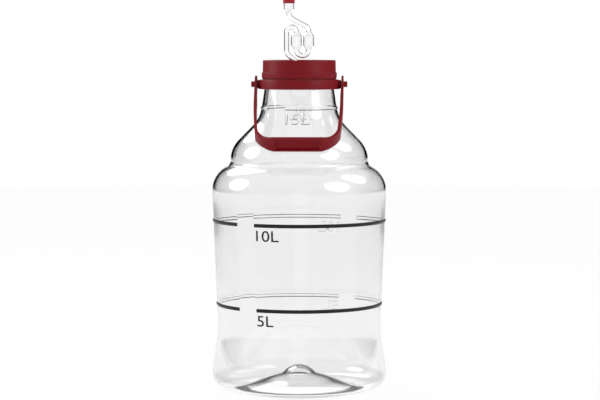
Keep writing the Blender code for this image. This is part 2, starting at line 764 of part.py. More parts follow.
def airlock_path():
    """Stations along the tube from the stem's tip to the cup's rim, as (point, radius)."""
    elbow = Vector((0.0, ELBOW_Z))
    riser_foot = Vector((RISER_X, ELBOW_Z - RISER_X * math.tan(ELBOW_SLOPE)))
    arch_x = (RISER_X + LEFT_BUBBLE_X) / 2
    riser_top = Vector((RISER_X, BUBBLE_TOP_Z))
    loop_x = (LEFT_BUBBLE_X + RIGHT_BUBBLE_X) / 2
    loop_r = (RIGHT_BUBBLE_X - LEFT_BUBBLE_X) / 2
    # The crossover ends in a bend just below the cup's neck
    cup_bend = BEND_R * math.tan((math.pi / 2 - CROSSOVER_SLOPE) / 2)
    cup_foot = Vector((CUP_X, CUP_NECK_Z - cup_bend - CUP_NECK_L))
    far_z = cup_foot.y - (RIGHT_BUBBLE_X - CUP_X) * math.tan(CROSSOVER_SLOPE)
    far_corner = Vector((RIGHT_BUBBLE_X, far_z))
    stem_tip = Vector((0.0, STEM_BOTTOM_Z))
    cup_top = Vector((CUP_X, CUP_RIM_Z))
    right_top = Vector((RIGHT_BUBBLE_X, BUBBLE_TOP_Z))
    path = [(stem_tip, TUBE_R)]
    path += [(p, TUBE_R) for p in fillet(stem_tip, elbow, riser_foot, BEND_R)]
    path += [(p, TUBE_R) for p in fillet(elbow, riser_foot, riser_top, BEND_R)]
    path += [(p, TUBE_R) for p in half_turn((arch_x, BUBBLE_TOP_Z), ARCH_R, math.pi, 0.0)]
    path += [
        (Vector((LEFT_BUBBLE_X, BUBBLE_TOP_Z - BUBBLE_CONE_H)), BUBBLE_R),
        (Vector((LEFT_BUBBLE_X, BUBBLE_BOTTOM_Z + BUBBLE_CONE_H)), BUBBLE_R),
    ]
    path += [
        (p, TUBE_R) for p in half_turn((loop_x, BUBBLE_BOTTOM_Z), loop_r, math.pi, math.tau)
    ]
    path += [
        (Vector((RIGHT_BUBBLE_X, BUBBLE_BOTTOM_Z + BUBBLE_CONE_H)), BUBBLE_R),
        (Vector((RIGHT_BUBBLE_X, BUBBLE_TOP_Z - BUBBLE_CONE_H)), BUBBLE_R),
        (right_top, TUBE_R),
    ]
    path += [(p, TUBE_R) for p in fillet(right_top, far_corner, cup_foot, BEND_R)]
    path += [(p, TUBE_R) for p in fillet(far_corner, cup_foot, cup_top, BEND_R)]
    path += [
        (Vector((CUP_X, CUP_NECK_Z)), TUBE_R),
        (Vector((CUP_X, CUP_NECK_Z + CUP_CONE_H)), CUP_R),
        (cup_top, CUP_R),
    ]
    return path


def build_airlock_half(name, side, clear):
    """Half of the airlock, split along the plane of its tube; side is -1 in front, 1 behind."""
    path = airlock_path()
    loops = []
    for i, (point, radius) in enumerate(path):
        before = path[max(i - 1, 0)][0]
        after = path[min(i + 1, len(path) - 1)][0]
        along = (after - before).normalized()
        across = Vector((-along.y, along.x))
        loop = []
        for r, order in ((radius, 1), (radius - AIRLOCK_WALL, -1)):
            for k in range(HALF_TUBE_STEPS + 1)[::order]:
                angle = math.pi * k / HALF_TUBE_STEPS
                spot = point + across * r * math.cos(angle)
                depth = side * (AIRLOCK_SEAM / 2 + r * math.sin(angle))
                loop.append(Vector((spot.x, depth, spot.y)))
        loops.append(loop)
    return make_object(name, loft(loops), clear)


def build_grommet(rubber):
    """Grooved rubber ring that grips the lid's floor and seals round the airlock's stem."""
    bore_r = TUBE_R + SEAT_GAP
    groove_r = LID_HOLE_R - SEAT_GAP
    floor_bottom = LID_FLOOR_Z - LID_FLOOR_T
    top = LID_FLOOR_Z + SEAT_GAP + GROMMET_FLANGE_T
    bottom = floor_bottom - SEAT_GAP - GROMMET_FLANGE_T
    outline = [
        (bore_r, bottom),
        (GROMMET_FLANGE_R - GROMMET_EDGE, bottom),
        (GROMMET_FLANGE_R, bottom + GROMMET_EDGE),
        (GROMMET_FLANGE_R, floor_bottom - SEAT_GAP),
        (groove_r, floor_bottom - SEAT_GAP),
        (groove_r, LID_FLOOR_Z + SEAT_GAP),
        (GROMMET_FLANGE_R, LID_FLOOR_Z + SEAT_GAP),
        (GROMMET_FLANGE_R, top - GROMMET_EDGE),
        (GROMMET_FLANGE_R - GROMMET_EDGE, top),
        (bore_r, top),
    ]
    return make_object("grommet", turn_outline(outline, SMALL_TURN_STEPS, True), rubber)


def build_dust_cap(red):
    """Small vented cap that sits loosely on the airlock's cup."""
    inner_r = CUP_R + AIRLOCK_SEAM / 2 + SEAT_GAP
    outer_r = inner_r + DUST_CAP_T
    ceiling_z = CUP_RIM_Z + SEAT_GAP
    top_z = ceiling_z + DUST_CAP_TOP_T
    bottom_z = ceiling_z - DUST_CAP_SKIRT_L
    outline = [
        (0.0, ceiling_z),
        (inner_r, ceiling_z),
        (inner_r, bottom_z),
        (outer_r, bottom_z),
        (outer_r, top_z - DUST_CAP_EDGE),
        (outer_r - DUST_CAP_EDGE, top_z),
        (0.0, top_z),
    ]
    cap = make_object("airlock_dust_cap", turn_outline(outline, SMALL_TURN_STEPS, False), red)
    cap.location.x = CUP_X
    ends = (ceiling_z - CUT_OVERRUN, top_z + CUT_OVERRUN)
    for number in range(VENT_COUNT):
        angle = math.tau * (number + 1 / 2) / VENT_COUNT
        x = CUP_X + VENT_CIRCLE_R * math.cos(angle)
        y = VENT_CIRCLE_R * math.sin(angle)
        loops = [
            [
                Vector((x + VENT_R * math.cos(turn), y + VENT_R * math.sin(turn), z))
                for turn in (math.tau * k / VENT_STEPS for k in range(VENT_STEPS))
            ]
            for z in ends
        ]
        add_boolean(cap, make_object(f"vent_cutter_{number}", loft(loops), red), "DIFFERENCE")
    return cap


def main():
    for obj in list(bpy.data.objects):
        bpy.data.objects.remove(obj)
    clear = make_material("clear_pet", (0.90, 0.93, 0.93), 0.05, 0.25)
    styrene = make_material("clear_styrene", (0.93, 0.95, 0.95), 0.04, 0.3)
    red = make_material("dark_red_plastic", (0.196, 0.014, 0.020), 0.35)
    bright_red = make_material("red_dust_cap_plastic", (0.300, 0.014, 0.020), 0.35)
    rubber = make_material("pale_rubber", (0.60, 0.58, 0.55), 0.6)
    foam = make_material("white_foam", (0.80, 0.80, 0.78), 0.8)
    build_jar(clear)
    build_lid(red)
    build_gasket(foam)
    build_collar(red)
    build_bail(red)
    build_airlock_half("airlock_front_half", -1, styrene)
    build_airlock_half("airlock_rear_half", 1, styrene)
    build_grommet(rubber)
    build_dust_cap(bright_red)


main()
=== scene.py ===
"""Clear wide-mouth carboy with a red screw lid, a carrying bail and a twin-bubble airlock.

Metres, +Z up, the front of the carboy faces -Y. Every piece lies where its CAD node lies.
"""

import math
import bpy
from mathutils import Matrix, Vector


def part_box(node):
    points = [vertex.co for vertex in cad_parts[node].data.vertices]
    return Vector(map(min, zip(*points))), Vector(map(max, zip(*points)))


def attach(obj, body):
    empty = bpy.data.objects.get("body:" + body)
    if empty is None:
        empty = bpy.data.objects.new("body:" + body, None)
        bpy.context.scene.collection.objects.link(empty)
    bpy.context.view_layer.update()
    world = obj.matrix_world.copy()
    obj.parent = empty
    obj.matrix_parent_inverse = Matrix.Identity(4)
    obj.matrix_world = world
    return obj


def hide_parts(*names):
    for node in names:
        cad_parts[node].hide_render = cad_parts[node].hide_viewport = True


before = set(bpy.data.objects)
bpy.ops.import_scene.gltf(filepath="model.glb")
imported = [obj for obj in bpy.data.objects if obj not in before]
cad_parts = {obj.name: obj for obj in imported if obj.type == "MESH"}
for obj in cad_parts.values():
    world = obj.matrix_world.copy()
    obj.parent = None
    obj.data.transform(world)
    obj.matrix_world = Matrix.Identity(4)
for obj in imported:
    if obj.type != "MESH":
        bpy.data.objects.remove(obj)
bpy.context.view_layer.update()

from types import SimpleNamespace

import bpy
from bpy.props import FloatProperty, FloatVectorProperty, PointerProperty
from mathutils import Matrix, Vector

bl_info = {
    "name": "Clear carboy",
    "version": (1, 0, 0),
    "blender": (4, 5, 0),
    "location": "View3D > Sidebar > Carboy",
    "description": "Models a clear carboy with its lid, bail and airlock round a packed frame",
    "category": "Add Mesh",
}

# Clearances that several pieces share
SEAT_GAP = 0.0003
THREAD_GAP = 0.0005
CUT_OVERRUN = 0.002
MERGE_DISTANCE = 0.000002

# Smoothness of the turned and swept shapes
TURN_STEPS = 144
SMALL_TURN_STEPS = 60
ARC_STEPS = 12
EDGE_STEPS = 4
BEVEL_STEPS = 3
CONE_STEPS = 8
TUBE_STEPS = 10
VENT_STEPS = 24
FLOOR_STEPS = 96
LETTER_STEPS = 4
SMOOTH_ANGLE = math.radians(30)
FLAT_ANGLE = math.radians(0.5)

# Jar: base, waist and shoulder
FOOT_RING_W = 0.0135
FOOT_EDGE_R = 0.0022
PUSH_UP_BULGE = 0.0020
NIPPLE_H = 0.0116
NIPPLE_R = 0.0204
BASE_CORNER_R = 0.0200
BASE_BAND_H = 0.0059
FOOT_CONE_LEAN = math.radians(17.6)
WAIST_Z = 0.0850
WAIST_BLEND_R = 0.1300
WAIST_PULL_DIVISOR = 3
BODY_TOP_Z = 0.2806
SHOULDER_BULGE_R = 0.0393
GROOVE_BLEND_R = 0.0070
GROOVE_H = 0.00053
UPPER_BULGE_R = 0.0430
UPPER_BULGE_ANGLE = math.radians(43.5)
NECK_SWEEP_H = 0.1006
NECK_FOOT_LEAN = math.radians(7.5)
NECK_PULL_SHARES = (0.55, 0.60)

# Jar: neck and thread finish
NECK_FOOT_STEP = 0.0006
NECK_FOOT_H = 0.0049
BEAD_RELIEF = 0.0022
BEAD_H = 0.0017
BEAD_EDGE_R = BEAD_H / 4
FINISH_STEP = 0.0005
FINISH_H = 0.0225
FINISH_WALL = 0.0023
RIM_EDGE_R = 0.0007
THREAD_PITCH = 0.0060
THREAD_TURNS = 1.25
THREAD_DEPTH = 0.0014
THREAD_ROOT_W = 0.0022
THREAD_CREST_W = 0.0010
THREAD_START_H = 0.0100
THREAD_ROOT_SINK = 0.0004
THREAD_FLANK = (THREAD_ROOT_W - THREAD_CREST_W) / 2 / THREAD_DEPTH

# Volume marks and their numbers
MARK_HEIGHTS = (0.1223, 0.2393, 0.3970)
MARK_WORDS = ("5L", "10L", "15L")
MARK_GAP_L = 0.0300
MARK_GAP_ANGLE = math.radians(-126)
MARK_EDGE_R = 0.0003
MARK_FLANK_H = 0.0012
DARK_FACE_RELIEF_DIVISOR = 5
NUMBER_RELIEF = 0.0007
CAPITAL_SHARE = 0.70
NUMBER_DROP_SHARE = 0.84
NUMBER_STRETCH = 1.2
NUMBER_EDGE = 0.0005
NUMBER_SPREAD = 0.0002
NUMBER_RIM_SHARE = 0.1

# Screw lid and gasket
LID_DRAFT = 0.0004
LID_TOP_EDGE_R = 0.0015
LID_BAND_T = 0.0013
LID_BAND_H = 0.0073
LID_EDGE_R = 0.0006
LID_LIP_T = 0.0007
LID_BEAD_CLEARANCE = 0.0005
LID_PLUG_CLEARANCE = 0.0012
LID_PLUG_T = 0.0024
LID_FLOOR_T = 0.0024
LID_HOLE_R = 0.0065
GASKET_T = 0.0017

# Collar
COLLAR_BORE_CLEARANCE = 0.0004
COLLAR_WALL = 0.0062
COLLAR_FLARE = 0.0016
COLLAR_EDGE_R = 0.0012
BOSS_R = 0.0060
BOSS_STEP = 0.0013
PIN_END_L = 0.0053
PIN_EDGE_R = 0.0006
PIN_SINK = 0.0030

# Bail
BAIL_EYE_R = 0.0120
BAIL_CORNER_R = 0.0270
BAIL_LEAN = 0.0030
BAIL_NECKING_L = 0.0380
BAIL_GRIP_HALF_L = 0.0330
BAIL_FLARE_L = 0.0140
BAIL_ARM_T = 0.0042
BAIL_EYE_CLEARANCE = 0.0003
BAIL_SIDE_CLEARANCE = 0.0005
BAIL_EDGE_R = 0.0005
BAIL_EDGE_ANGLE = math.radians(40)
GRIP_PANEL_BORDER = 0.0030
GRIP_PANEL_DEPTH = 0.0028

# Airlock, grommet and dust cap
AIRLOCK_SEAM = 0.00004
STEM_DROP = 0.0139
ELBOW_RISE = 0.0071
ELBOW_SLOPE = math.radians(43)
BEND_R = 0.0080
BUBBLE_H = 0.0244
BUBBLE_RISE = 0.0217
BUBBLE_CONE_H = 0.0056
CONE_EASE = 0.3
BUBBLE_SUPPORT = 0.0008
LEFT_BUBBLE_X = -0.0042
BUBBLE_GAP = 0.00235
RISER_GAP = 0.0026
CUP_SHIFT = 0.0033
CUP_RISE = 0.0169
CUP_NECK_L = 0.0016
CUP_CONE_H = 0.0048
CUP_H = 0.0199
CROSSOVER_SLOPE = math.radians(28.6)
GROMMET_FLANGE_R = 0.0092
GROMMET_FLANGE_T = 0.0020
GROMMET_EDGE_R = GROMMET_FLANGE_T / 3
DUST_CAP_T = 0.0006
DUST_CAP_TOP_T = 0.0012
DUST_CAP_SKIRT_L = 0.0073
VENT_R = 0.0006
VENT_CIRCLE_R = 0.0035
VENT_COUNT = 4

# Patterns of the surfaces, as waves or grains to a metre: 40 and 17 mm long on the clear
# plastics, 0.7 and 33 mm on the red ones, then 2.0, 1.1 and 2.5 mm
PET_WAVES = 25.0
STYRENE_WAVES = 60.0
MOULD_GRAIN = 1400.0
MOULD_FLOW = 30.0
RUBBER_GRAIN = 500.0
FOAM_CELLS = 900.0
DARK_FACE_PATCHES = 400.0

# Stage
WHITE = (1.0, 1.0, 1.0, 1.0)
FLOOR_R = 4.5
FLOOR_DROP = 0.0002
# Size of the painted pool of light on the paper under the clear base
PAINTED_POOL_R = 0.1000
PAINTED_POOL_FADE = 1.3
PAPER_SHINE = 0.97
SOFTBOX_AIM = Vector((0.0, 0.0, 0.27))
SOFTBOX_DISTANCE = 2.2
CAMERA_PLACE = Vector((0.099, -3.334, 0.5003))
CAMERA_AIM = Vector((0.0010, 0.0, 0.2671))
SENSOR_W = 36.0


def to_linear(hex_colour):
    """Linear RGB of an sRGB colour written as six hex digits."""
    shares = [int(hex_colour[i:i + 2], 16) / 255 for i in (1, 3, 5)]
    return tuple(
        share / 12.92 if share <= 0.04045 else ((share + 0.055) / 1.055) ** 2.4
        for share in shares
    )


def length(name, default, description):
    """A length that a user can change."""
    return FloatProperty(
        name=name, default=default, description=description, min=0.0, precision=5, unit="LENGTH"
    )


def amount(name, default, description):
    """A plain number that a user can change."""
    return FloatProperty(name=name, default=default, description=description, min=0.0)


def colour(name, hex_colour, description):
    """A colour that a user can change."""
    return FloatVectorProperty(
        name=name, default=to_linear(hex_colour), description=description, subtype="COLOR",
        size=3, min=0.0, max=1.0,
    )


class JarSizes(bpy.types.PropertyGroup):
    wall: length("Wall", 0.0024, "Thickness of the blown wall")
    corner_wall: length("Corner wall", 0.0018, "Thickness of the wall round the base corner")
    shoulder_wall: length("Shoulder wall", 0.0031, "Thickness of the wall at the groove")
    neck_wall: length("Neck wall", 0.0028, "Thickness of the wall at the collar")
    base_wall: length("Base wall", 0.0042, "Thickness of the wall in the middle of the base")
    foot_r: length("Foot radius", 0.0925, "Outside radius of the flat foot ring")
    push_up: length("Push-up", 0.0202, "Height of the dome under the base")
    base_r: length("Base radius", 0.1224, "Outside radius above the base corner")
    waist_r: length("Waist radius", 0.1139, "Outside radius of the waist")
    body_r: length("Body radius", 0.1223, "Outside radius where the shoulder starts")
    groove_r: length("Groove radius", 0.0968, "Outside radius of the groove in the shoulder")
    neck_r: length("Neck radius", 0.0484, "Outside radius of the neck")
    mark_h: length("Mark height", 0.0050, "Height of a raised volume mark")
    mark_relief: length("Mark relief", 0.0010, "How far a volume mark stands out")
    number_h: length("Number height", 0.0150, "Height of the raised numbers")


class LidSizes(bpy.types.PropertyGroup):
    top_t: length("Top", 0.0020, "Thickness of the lid's top")
    skirt_t: length("Skirt", 0.0015, "Thickness of the lid's skirt")
    recess: length("Recess", 0.0140, "Depth of the recess in the lid's top")


class BailSizes(bpy.types.PropertyGroup):
    collar_h: length("Collar height", 0.0131, "Height of the ring that carries the bail")
    pin_r: length("Pin radius", 0.0041, "Radius of each pivot pin")
    strap_t: length("Strap", 0.0030, "Thickness of the bail at its eyes")
    grip_t: length("Grip thickness", 0.0038, "Thickness of the bail's grip")
    arm_w: length("Arm width", 0.0165, "Width of the bail's arms")
    grip_w: length("Grip width", 0.0230, "Width of the bail's grip")
    reach: length("Reach", 0.1285, "From the pivot to the middle of the grip")


class AirlockSizes(bpy.types.PropertyGroup):
    tube_r: length("Tube radius", 0.0035, "Outside radius of the airlock's tube")
    bubble_r: length("Bubble radius", 0.0075, "Outside radius of a bubble chamber")
    cup_r: length("Cup radius", 0.0072, "Outside radius of the cup")
    wall: length("Wall", 0.00045, "Wall of the moulded tube")


class Finishes(bpy.types.PropertyGroup):
    pet: colour("PET", "#F8F8F8", "Faint grey of the jar's clear wall")
    red: colour("Lid red", "#88101B", "Dark red of the lid, the collar and the bail")
    cap_red: colour("Cap red", "#B02A3A", "Brighter red of the dust cap")
    # Near-black colour of the raised faces on the front halves of the 5 L and 10 L marks
    dark_mark_tint: colour("Ink", "#0C0C0C", "Ink on the front volume marks")
    rubber: colour("Rubber", "#D8D2C6", "Pale rubber of the grommet")
    foam: colour("Foam", "#ECEBE6", "White foam of the gasket")
    floor: colour("Floor", "#F7F7F7", "Floor that the carboy stands on")


class StageSettings(bpy.types.PropertyGroup):
    lens: amount("Lens", 142.8, "Focal length for a sensor 36 mm wide")
    left: amount("Left", 3.7, "Radiance of the softboxes on the left")
    right: amount("Right", 1.9, "Radiance of the softboxes on the right")
    fill: amount("Fill", 0.45, "Soft light from all round")
    studio_dark: amount("Studio", 0.02, "Radiance of the dark room above the backdrop")
    painted_pool_glow: amount("Glow", 1.4, "Light on the paper under the clear base")
    # Brightness of the painted pool of light on the paper under the clear base
    room: amount("Room", 0.6, "Radiance of the pale ceiling and of the room in front")


def settings():
    """The sizes and colours of the scene, with the places that follow from them."""
    scene = bpy.context.scene
    jar = scene.carboy_jar
    lid = scene.carboy_lid
    bail = scene.carboy_bail
    air = scene.carboy_airlock
    at = SimpleNamespace(jar=jar, lid=lid, bail=bail, air=air, finishes=scene.carboy_finishes)
    # The lower bulge's centre, and the groove's hollow that touches it
    at.bulge_x = jar.body_r - SHOULDER_BULGE_R
    at.hollow_x = jar.groove_r + GROOVE_BLEND_R
    reach = SHOULDER_BULGE_R + GROOVE_BLEND_R
    at.hollow_rise = math.sqrt(reach ** 2 - (at.hollow_x - at.bulge_x) ** 2)
    # Heights from the shoulder up to the airlock's rim
    at.groove_z = BODY_TOP_Z + at.hollow_rise + GROOVE_H
    at.neck_foot_z = at.groove_z + NECK_SWEEP_H
    at.collar_top_z = at.neck_foot_z + bail.collar_h
    at.pivot_z = at.neck_foot_z + bail.collar_h / 2
    at.bead_z = at.collar_top_z + SEAT_GAP
    at.thread_z = at.bead_z + THREAD_START_H
    at.finish_z = at.bead_z + FINISH_H
    at.lid_bottom_z = at.bead_z + BEAD_H + LID_BEAD_CLEARANCE
    at.lid_underside_z = at.finish_z + 2 * SEAT_GAP + GASKET_T
    at.lid_top_z = at.lid_underside_z + lid.top_t
    at.lid_floor_z = at.lid_top_z - lid.recess
    at.elbow_z = at.lid_floor_z + ELBOW_RISE
    at.bubble_bottom_z = at.elbow_z + BUBBLE_RISE
    at.bubble_top_z = at.bubble_bottom_z + BUBBLE_H
    # Radii and places across
    at.neck_foot_r = jar.neck_r + NECK_FOOT_STEP
    at.bead_r = jar.neck_r + BEAD_RELIEF
    at.finish_r = jar.neck_r - FINISH_STEP
    at.mouth_r = at.finish_r - FINISH_WALL
    at.lid_bore_r = at.finish_r + THREAD_DEPTH + THREAD_GAP
    at.lid_skirt_r = at.lid_bore_r + lid.skirt_t
    at.lid_plug_r = at.mouth_r - LID_PLUG_CLEARANCE
    at.collar_bore_r = at.neck_foot_r + COLLAR_BORE_CLEARANCE
    at.collar_top_r = at.collar_bore_r + COLLAR_WALL
    at.collar_foot_r = at.collar_top_r + COLLAR_FLARE
    at.boss_x = at.collar_foot_r + BOSS_STEP
    at.eye_x = at.boss_x + BAIL_SIDE_CLEARANCE
    at.pin_tip_x = at.eye_x + bail.strap_t + PIN_END_L
    at.right_x = LEFT_BUBBLE_X + 2 * air.bubble_r + BUBBLE_GAP
    at.riser_x = LEFT_BUBBLE_X - air.bubble_r - air.tube_r - RISER_GAP
    at.cup_x = at.riser_x + CUP_SHIFT
    at.arch_r = (LEFT_BUBBLE_X - at.riser_x) / 2
    at.cup_neck_z = at.bubble_top_z + at.arch_r + air.tube_r + CUP_RISE
    at.cup_rim_z = at.cup_neck_z + CUP_H
    return at


# Outlines in a plane


def blend(first, last, share):
    """Value at a share of the way between two; it stops at both ends."""
    return first + (last - first) * min(1.0, max(0.0, share))


def arc(centre, radius, start, end, steps):
    """Points of an arc; the angles are measured from the first axis towards the second."""
    points = []
    for i in range(steps + 1):
        angle = start + (end - start) * i / steps
        points.append((centre[0] + radius * math.cos(angle), centre[1] + radius * math.sin(angle)))
    return points


def bezier(p0, p1, p2, p3, steps):
    """Points of a cubic curve."""
    points = []
    for i in range(steps + 1):
        t = i / steps
        u = 1 - t
        weights = (u ** 3, 3 * u * u * t, 3 * u * t * t, t ** 3)
        points.append(tuple(
            sum(weight * point[axis] for weight, point in zip(weights, (p0, p1, p2, p3)))
            for axis in (0, 1)
        ))
    return points


def round_corner(before, corner, after, radius, steps):
    """Arc that rounds the corner between two straight runs."""
    before, corner, after = (Vector(point) for point in (before, corner, after))
    into = (before - corner).normalized()
    out = (after - corner).normalized()
    half_angle = into.angle(out) / 2
    tangent = radius / math.tan(half_angle)
    centre = corner + (into + out).normalized() * radius / math.sin(half_angle)
    first = corner + into * tangent - centre
    last = corner + out * tangent - centre
    sweep = first.angle(last)
    turn = math.copysign(1.0, first.x * last.y - first.y * last.x)
    start = math.atan2(first.y, first.x)
    return arc(centre, radius, start, start + turn * sweep, steps)


def soften(corners, steps=EDGE_STEPS):
    """Closed outline from (r, z, rounding) corners, each sharp where its rounding is 0."""
    points = []
    for i, (r, z, rounding) in enumerate(corners):
        before = corners[i - 1][:2]
        after = corners[(i + 1) % len(corners)][:2]
        if rounding:
            points += round_corner(before, (r, z), after, rounding, steps)
        else:
            points.append((r, z))
    return points


def offset_left(outline, distances):
    """Move each point of an open outline to its left by its own distance, with mitred corners."""
    points = [Vector(point) for point in outline]
    moved = []
    for i, point in enumerate(points):
        before = (point - points[i - 1]).normalized() if i else None
        after = (points[i + 1] - point).normalized() if i + 1 < len(points) else None
        first = before or after
        last = after or before
        left = Vector((-first.y, first.x)) + Vector((-last.y, last.x))
        left.normalize()
        mitre = left.dot(Vector((-first.y, first.x)))
        moved.append(tuple(point + left * distances[i] / mitre))
    return moved


# Modelling by hand, in Blender's own operators


def start_piece(name, place):
    """Add a new piece at the origin as one selected point at a place, in edit mode."""
    bpy.ops.mesh.primitive_plane_add()
    bpy.context.object.name = name
    bpy.ops.object.mode_set(mode="EDIT")
    bpy.ops.mesh.merge(type="CENTER")
    bpy.ops.transform.translate(value=place)
    return bpy.context.object


def draw_line(points):
    """Extrude the selected point along the points of a line."""
    for before, after in zip(points, points[1:]):
        step = Vector(after) - Vector(before)
        bpy.ops.mesh.extrude_region_move(TRANSFORM_OT_translate={"value": step})


def merge_all():
    """Select the whole mesh that is being edited and merge what lies in one place."""
    bpy.ops.mesh.select_all(action="SELECT")
    bpy.ops.mesh.remove_doubles(threshold=MERGE_DISTANCE)


def draw_section(name, points):
    """Start a new piece as a closed line through these points, left selected in edit mode."""
    piece = start_piece(name, points[0])
    draw_line([*points, points[0]])
    merge_all()
    return piece


def close_shape():
    """Merge doubles, point the faces outwards and leave edit mode."""
    merge_all()
    bpy.ops.mesh.normals_make_consistent(inside=False)
    bpy.ops.object.mode_set(mode="OBJECT")


def turn_piece(name, outline, steps=TURN_STEPS, closed=True, centre_x=0.0):
    """Draw an (r, z) outline and spin it round an upright axis."""
    points = [(centre_x + r, 0.0, z) for r, z in outline]
    if closed:
        points.append(points[0])
    piece = start_piece(name, points[0])
    draw_line(points)
    bpy.ops.mesh.select_all(action="SELECT")
    bpy.ops.mesh.spin(
        steps=steps, angle=math.tau, center=(centre_x, 0.0, 0.0), axis=(0.0, 0.0, 1.0)
    )
    close_shape()
    return piece


def choose(piece):
    """Select one piece and make it the active one."""
    bpy.ops.object.select_all(action="DESELECT")
    piece.select_set(True)
    bpy.context.view_layer.objects.active = piece


def modify(piece, kind, **values):
    """Add a modifier to a piece with these settings, and apply it."""
    choose(piece)
    bpy.ops.object.modifier_add(type=kind)
    modifier = piece.modifiers[-1]
    for name, value in values.items():
        setattr(modifier, name, value)
    bpy.ops.object.modifier_apply(modifier=modifier.name)


def combine(piece, other, operation):
    """Join another shape to a piece or cut it out, and remove that shape."""
    modify(piece, "BOOLEAN", operation=operation, object=other, solver="EXACT")
    bpy.data.objects.remove(other)


def join(pieces):
    """Make several pieces one object."""
    choose(pieces[0])
    for piece in pieces[1:]:
        piece.select_set(True)
    bpy.ops.object.join()
    return pieces[0]


def cap_ends():
    """Close the open ends of the tube that is being edited."""
    bpy.ops.mesh.select_all(action="DESELECT")
    bpy.ops.mesh.select_mode(type="EDGE")
    bpy.ops.mesh.select_non_manifold()
    bpy.ops.mesh.edge_face_add()
    bpy.ops.mesh.select_mode(type="VERT")


def finish_piece(piece, material, body, slot, *nodes):
    """Smooth a piece, give it its material and let it stand for its CAD nodes."""
    choose(piece)
    bpy.ops.object.shade_smooth_by_angle(angle=SMOOTH_ANGLE)
    piece.data.materials.append(material)
    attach(piece, body)
    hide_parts(*nodes)


# Materials


def add_node(tree, kind, *inputs, **values):
    """Add a node with these settings; a node or socket among them is linked to its input."""
    node = tree.nodes.new(kind)
    sockets = dict(enumerate(inputs))
    for name, value in values.items():
        if name in node.bl_rna.properties:
            setattr(node, name, value)
        else:
            sockets[name.replace("_", " ")] = value
    for name, value in sockets.items():
        if isinstance(value, bpy.types.Node):
            value = value.outputs[0]
        if isinstance(value, bpy.types.NodeSocket):
            tree.links.new(value, node.inputs[name])
        else:
            node.inputs[name].default_value = value
    return node


def new_material(name):
    """A new node material, its empty tree and the coordinates of its piece."""
    material = bpy.data.materials.new(name)
    material.use_nodes = True
    tree = material.node_tree
    tree.nodes.clear()
    return material, tree, add_node(tree, "ShaderNodeTexCoord").outputs["Object"]


def clear_plastic(name, tint, ior, waves, strength, depth):
    """Clear and glossy plastic, with the faint waves of its wall."""
    material, tree, place = new_material(name)
    noise = add_node(tree, "ShaderNodeTexNoise", Vector=place, Scale=waves, Detail=2.0)
    bump = add_node(tree, "ShaderNodeBump", Height=noise, Strength=strength, Distance=depth)
    shader = add_node(
        tree, "ShaderNodeBsdfPrincipled", Base_Color=(*tint, 1.0), Roughness=0.0, IOR=ior,
        Transmission_Weight=1.0, Normal=bump,
    )
    add_node(tree, "ShaderNodeOutputMaterial", Surface=shader)
    return material


def moulded_red(name, tint):
    """Injection-moulded plastic: satin, with a fine spark-eroded grain and faint flow marks."""
    material, tree, place = new_material(name)
    # The real grain is about 0.1 mm wide; it is drawn 0.7 mm wide so that it shows
    grain = add_node(tree, "ShaderNodeTexNoise", Vector=place, Scale=MOULD_GRAIN, Detail=2.0)
    flow = add_node(tree, "ShaderNodeTexNoise", Vector=place, Scale=MOULD_FLOW, Detail=3.0)
    shade = add_node(tree, "ShaderNodeMapRange", Value=flow, To_Min=0.92, To_Max=1.08)
    mix = add_node(tree, "ShaderNodeVectorMath", tint, Scale=shade, operation="SCALE")
    roughness = add_node(tree, "ShaderNodeMapRange", Value=flow, To_Min=0.38, To_Max=0.48)
    bump = add_node(tree, "ShaderNodeBump", Height=grain, Strength=0.25, Distance=0.0002)
    shader = add_node(
        tree, "ShaderNodeBsdfPrincipled", Base_Color=mix, Roughness=roughness, Normal=bump,
        IOR=1.49, Specular_IOR_Level=0.22,
    )
    add_node(tree, "ShaderNodeOutputMaterial", Surface=shader)
    return material


def red_polypropylene(at):
    """What the lid, the collar and the bail share: polypropylene in a deep red."""
    name = "moulded_red_polypropylene"
    return bpy.data.materials.get(name) or moulded_red(name, at.finishes.red)


def moulded_rubber(name, tint, grains, roughness):
    """Rubber or foam: matt, with a fine open surface."""
    material, tree, place = new_material(name)
    noise = add_node(tree, "ShaderNodeTexNoise", Vector=place, Scale=grains, Detail=4.0)
    shade = add_node(tree, "ShaderNodeMapRange", Value=noise, To_Min=0.9, To_Max=1.05)
    mix = add_node(tree, "ShaderNodeVectorMath", tint, Scale=shade, operation="SCALE")
    bump = add_node(tree, "ShaderNodeBump", Height=noise, Strength=0.3, Distance=0.0002)
    shader = add_node(
        tree, "ShaderNodeBsdfPrincipled", Base_Color=mix, Normal=bump, Roughness=roughness
    )
    add_node(tree, "ShaderNodeOutputMaterial", Surface=shader)
    return material


def dark_mark_material(tint):
    """Near-black colour, half glossy, for the raised faces of the front marks, with its roughness
    varying in patches of 2.5 mm.
    """
    material, tree, place = new_material("near_black_mark_faces")
    noise = add_node(tree, "ShaderNodeTexNoise", Vector=place, Scale=DARK_FACE_PATCHES, Detail=2.0)
    roughness = add_node(tree, "ShaderNodeMapRange", Value=noise, To_Min=0.25, To_Max=0.4)
    shader = add_node(
        tree, "ShaderNodeBsdfPrincipled", Roughness=roughness, Specular_IOR_Level=0.3,
        Base_Color=(*tint, 1.0),
    )
    add_node(tree, "ShaderNodeOutputMaterial", Surface=shader)
    return material


# Jar


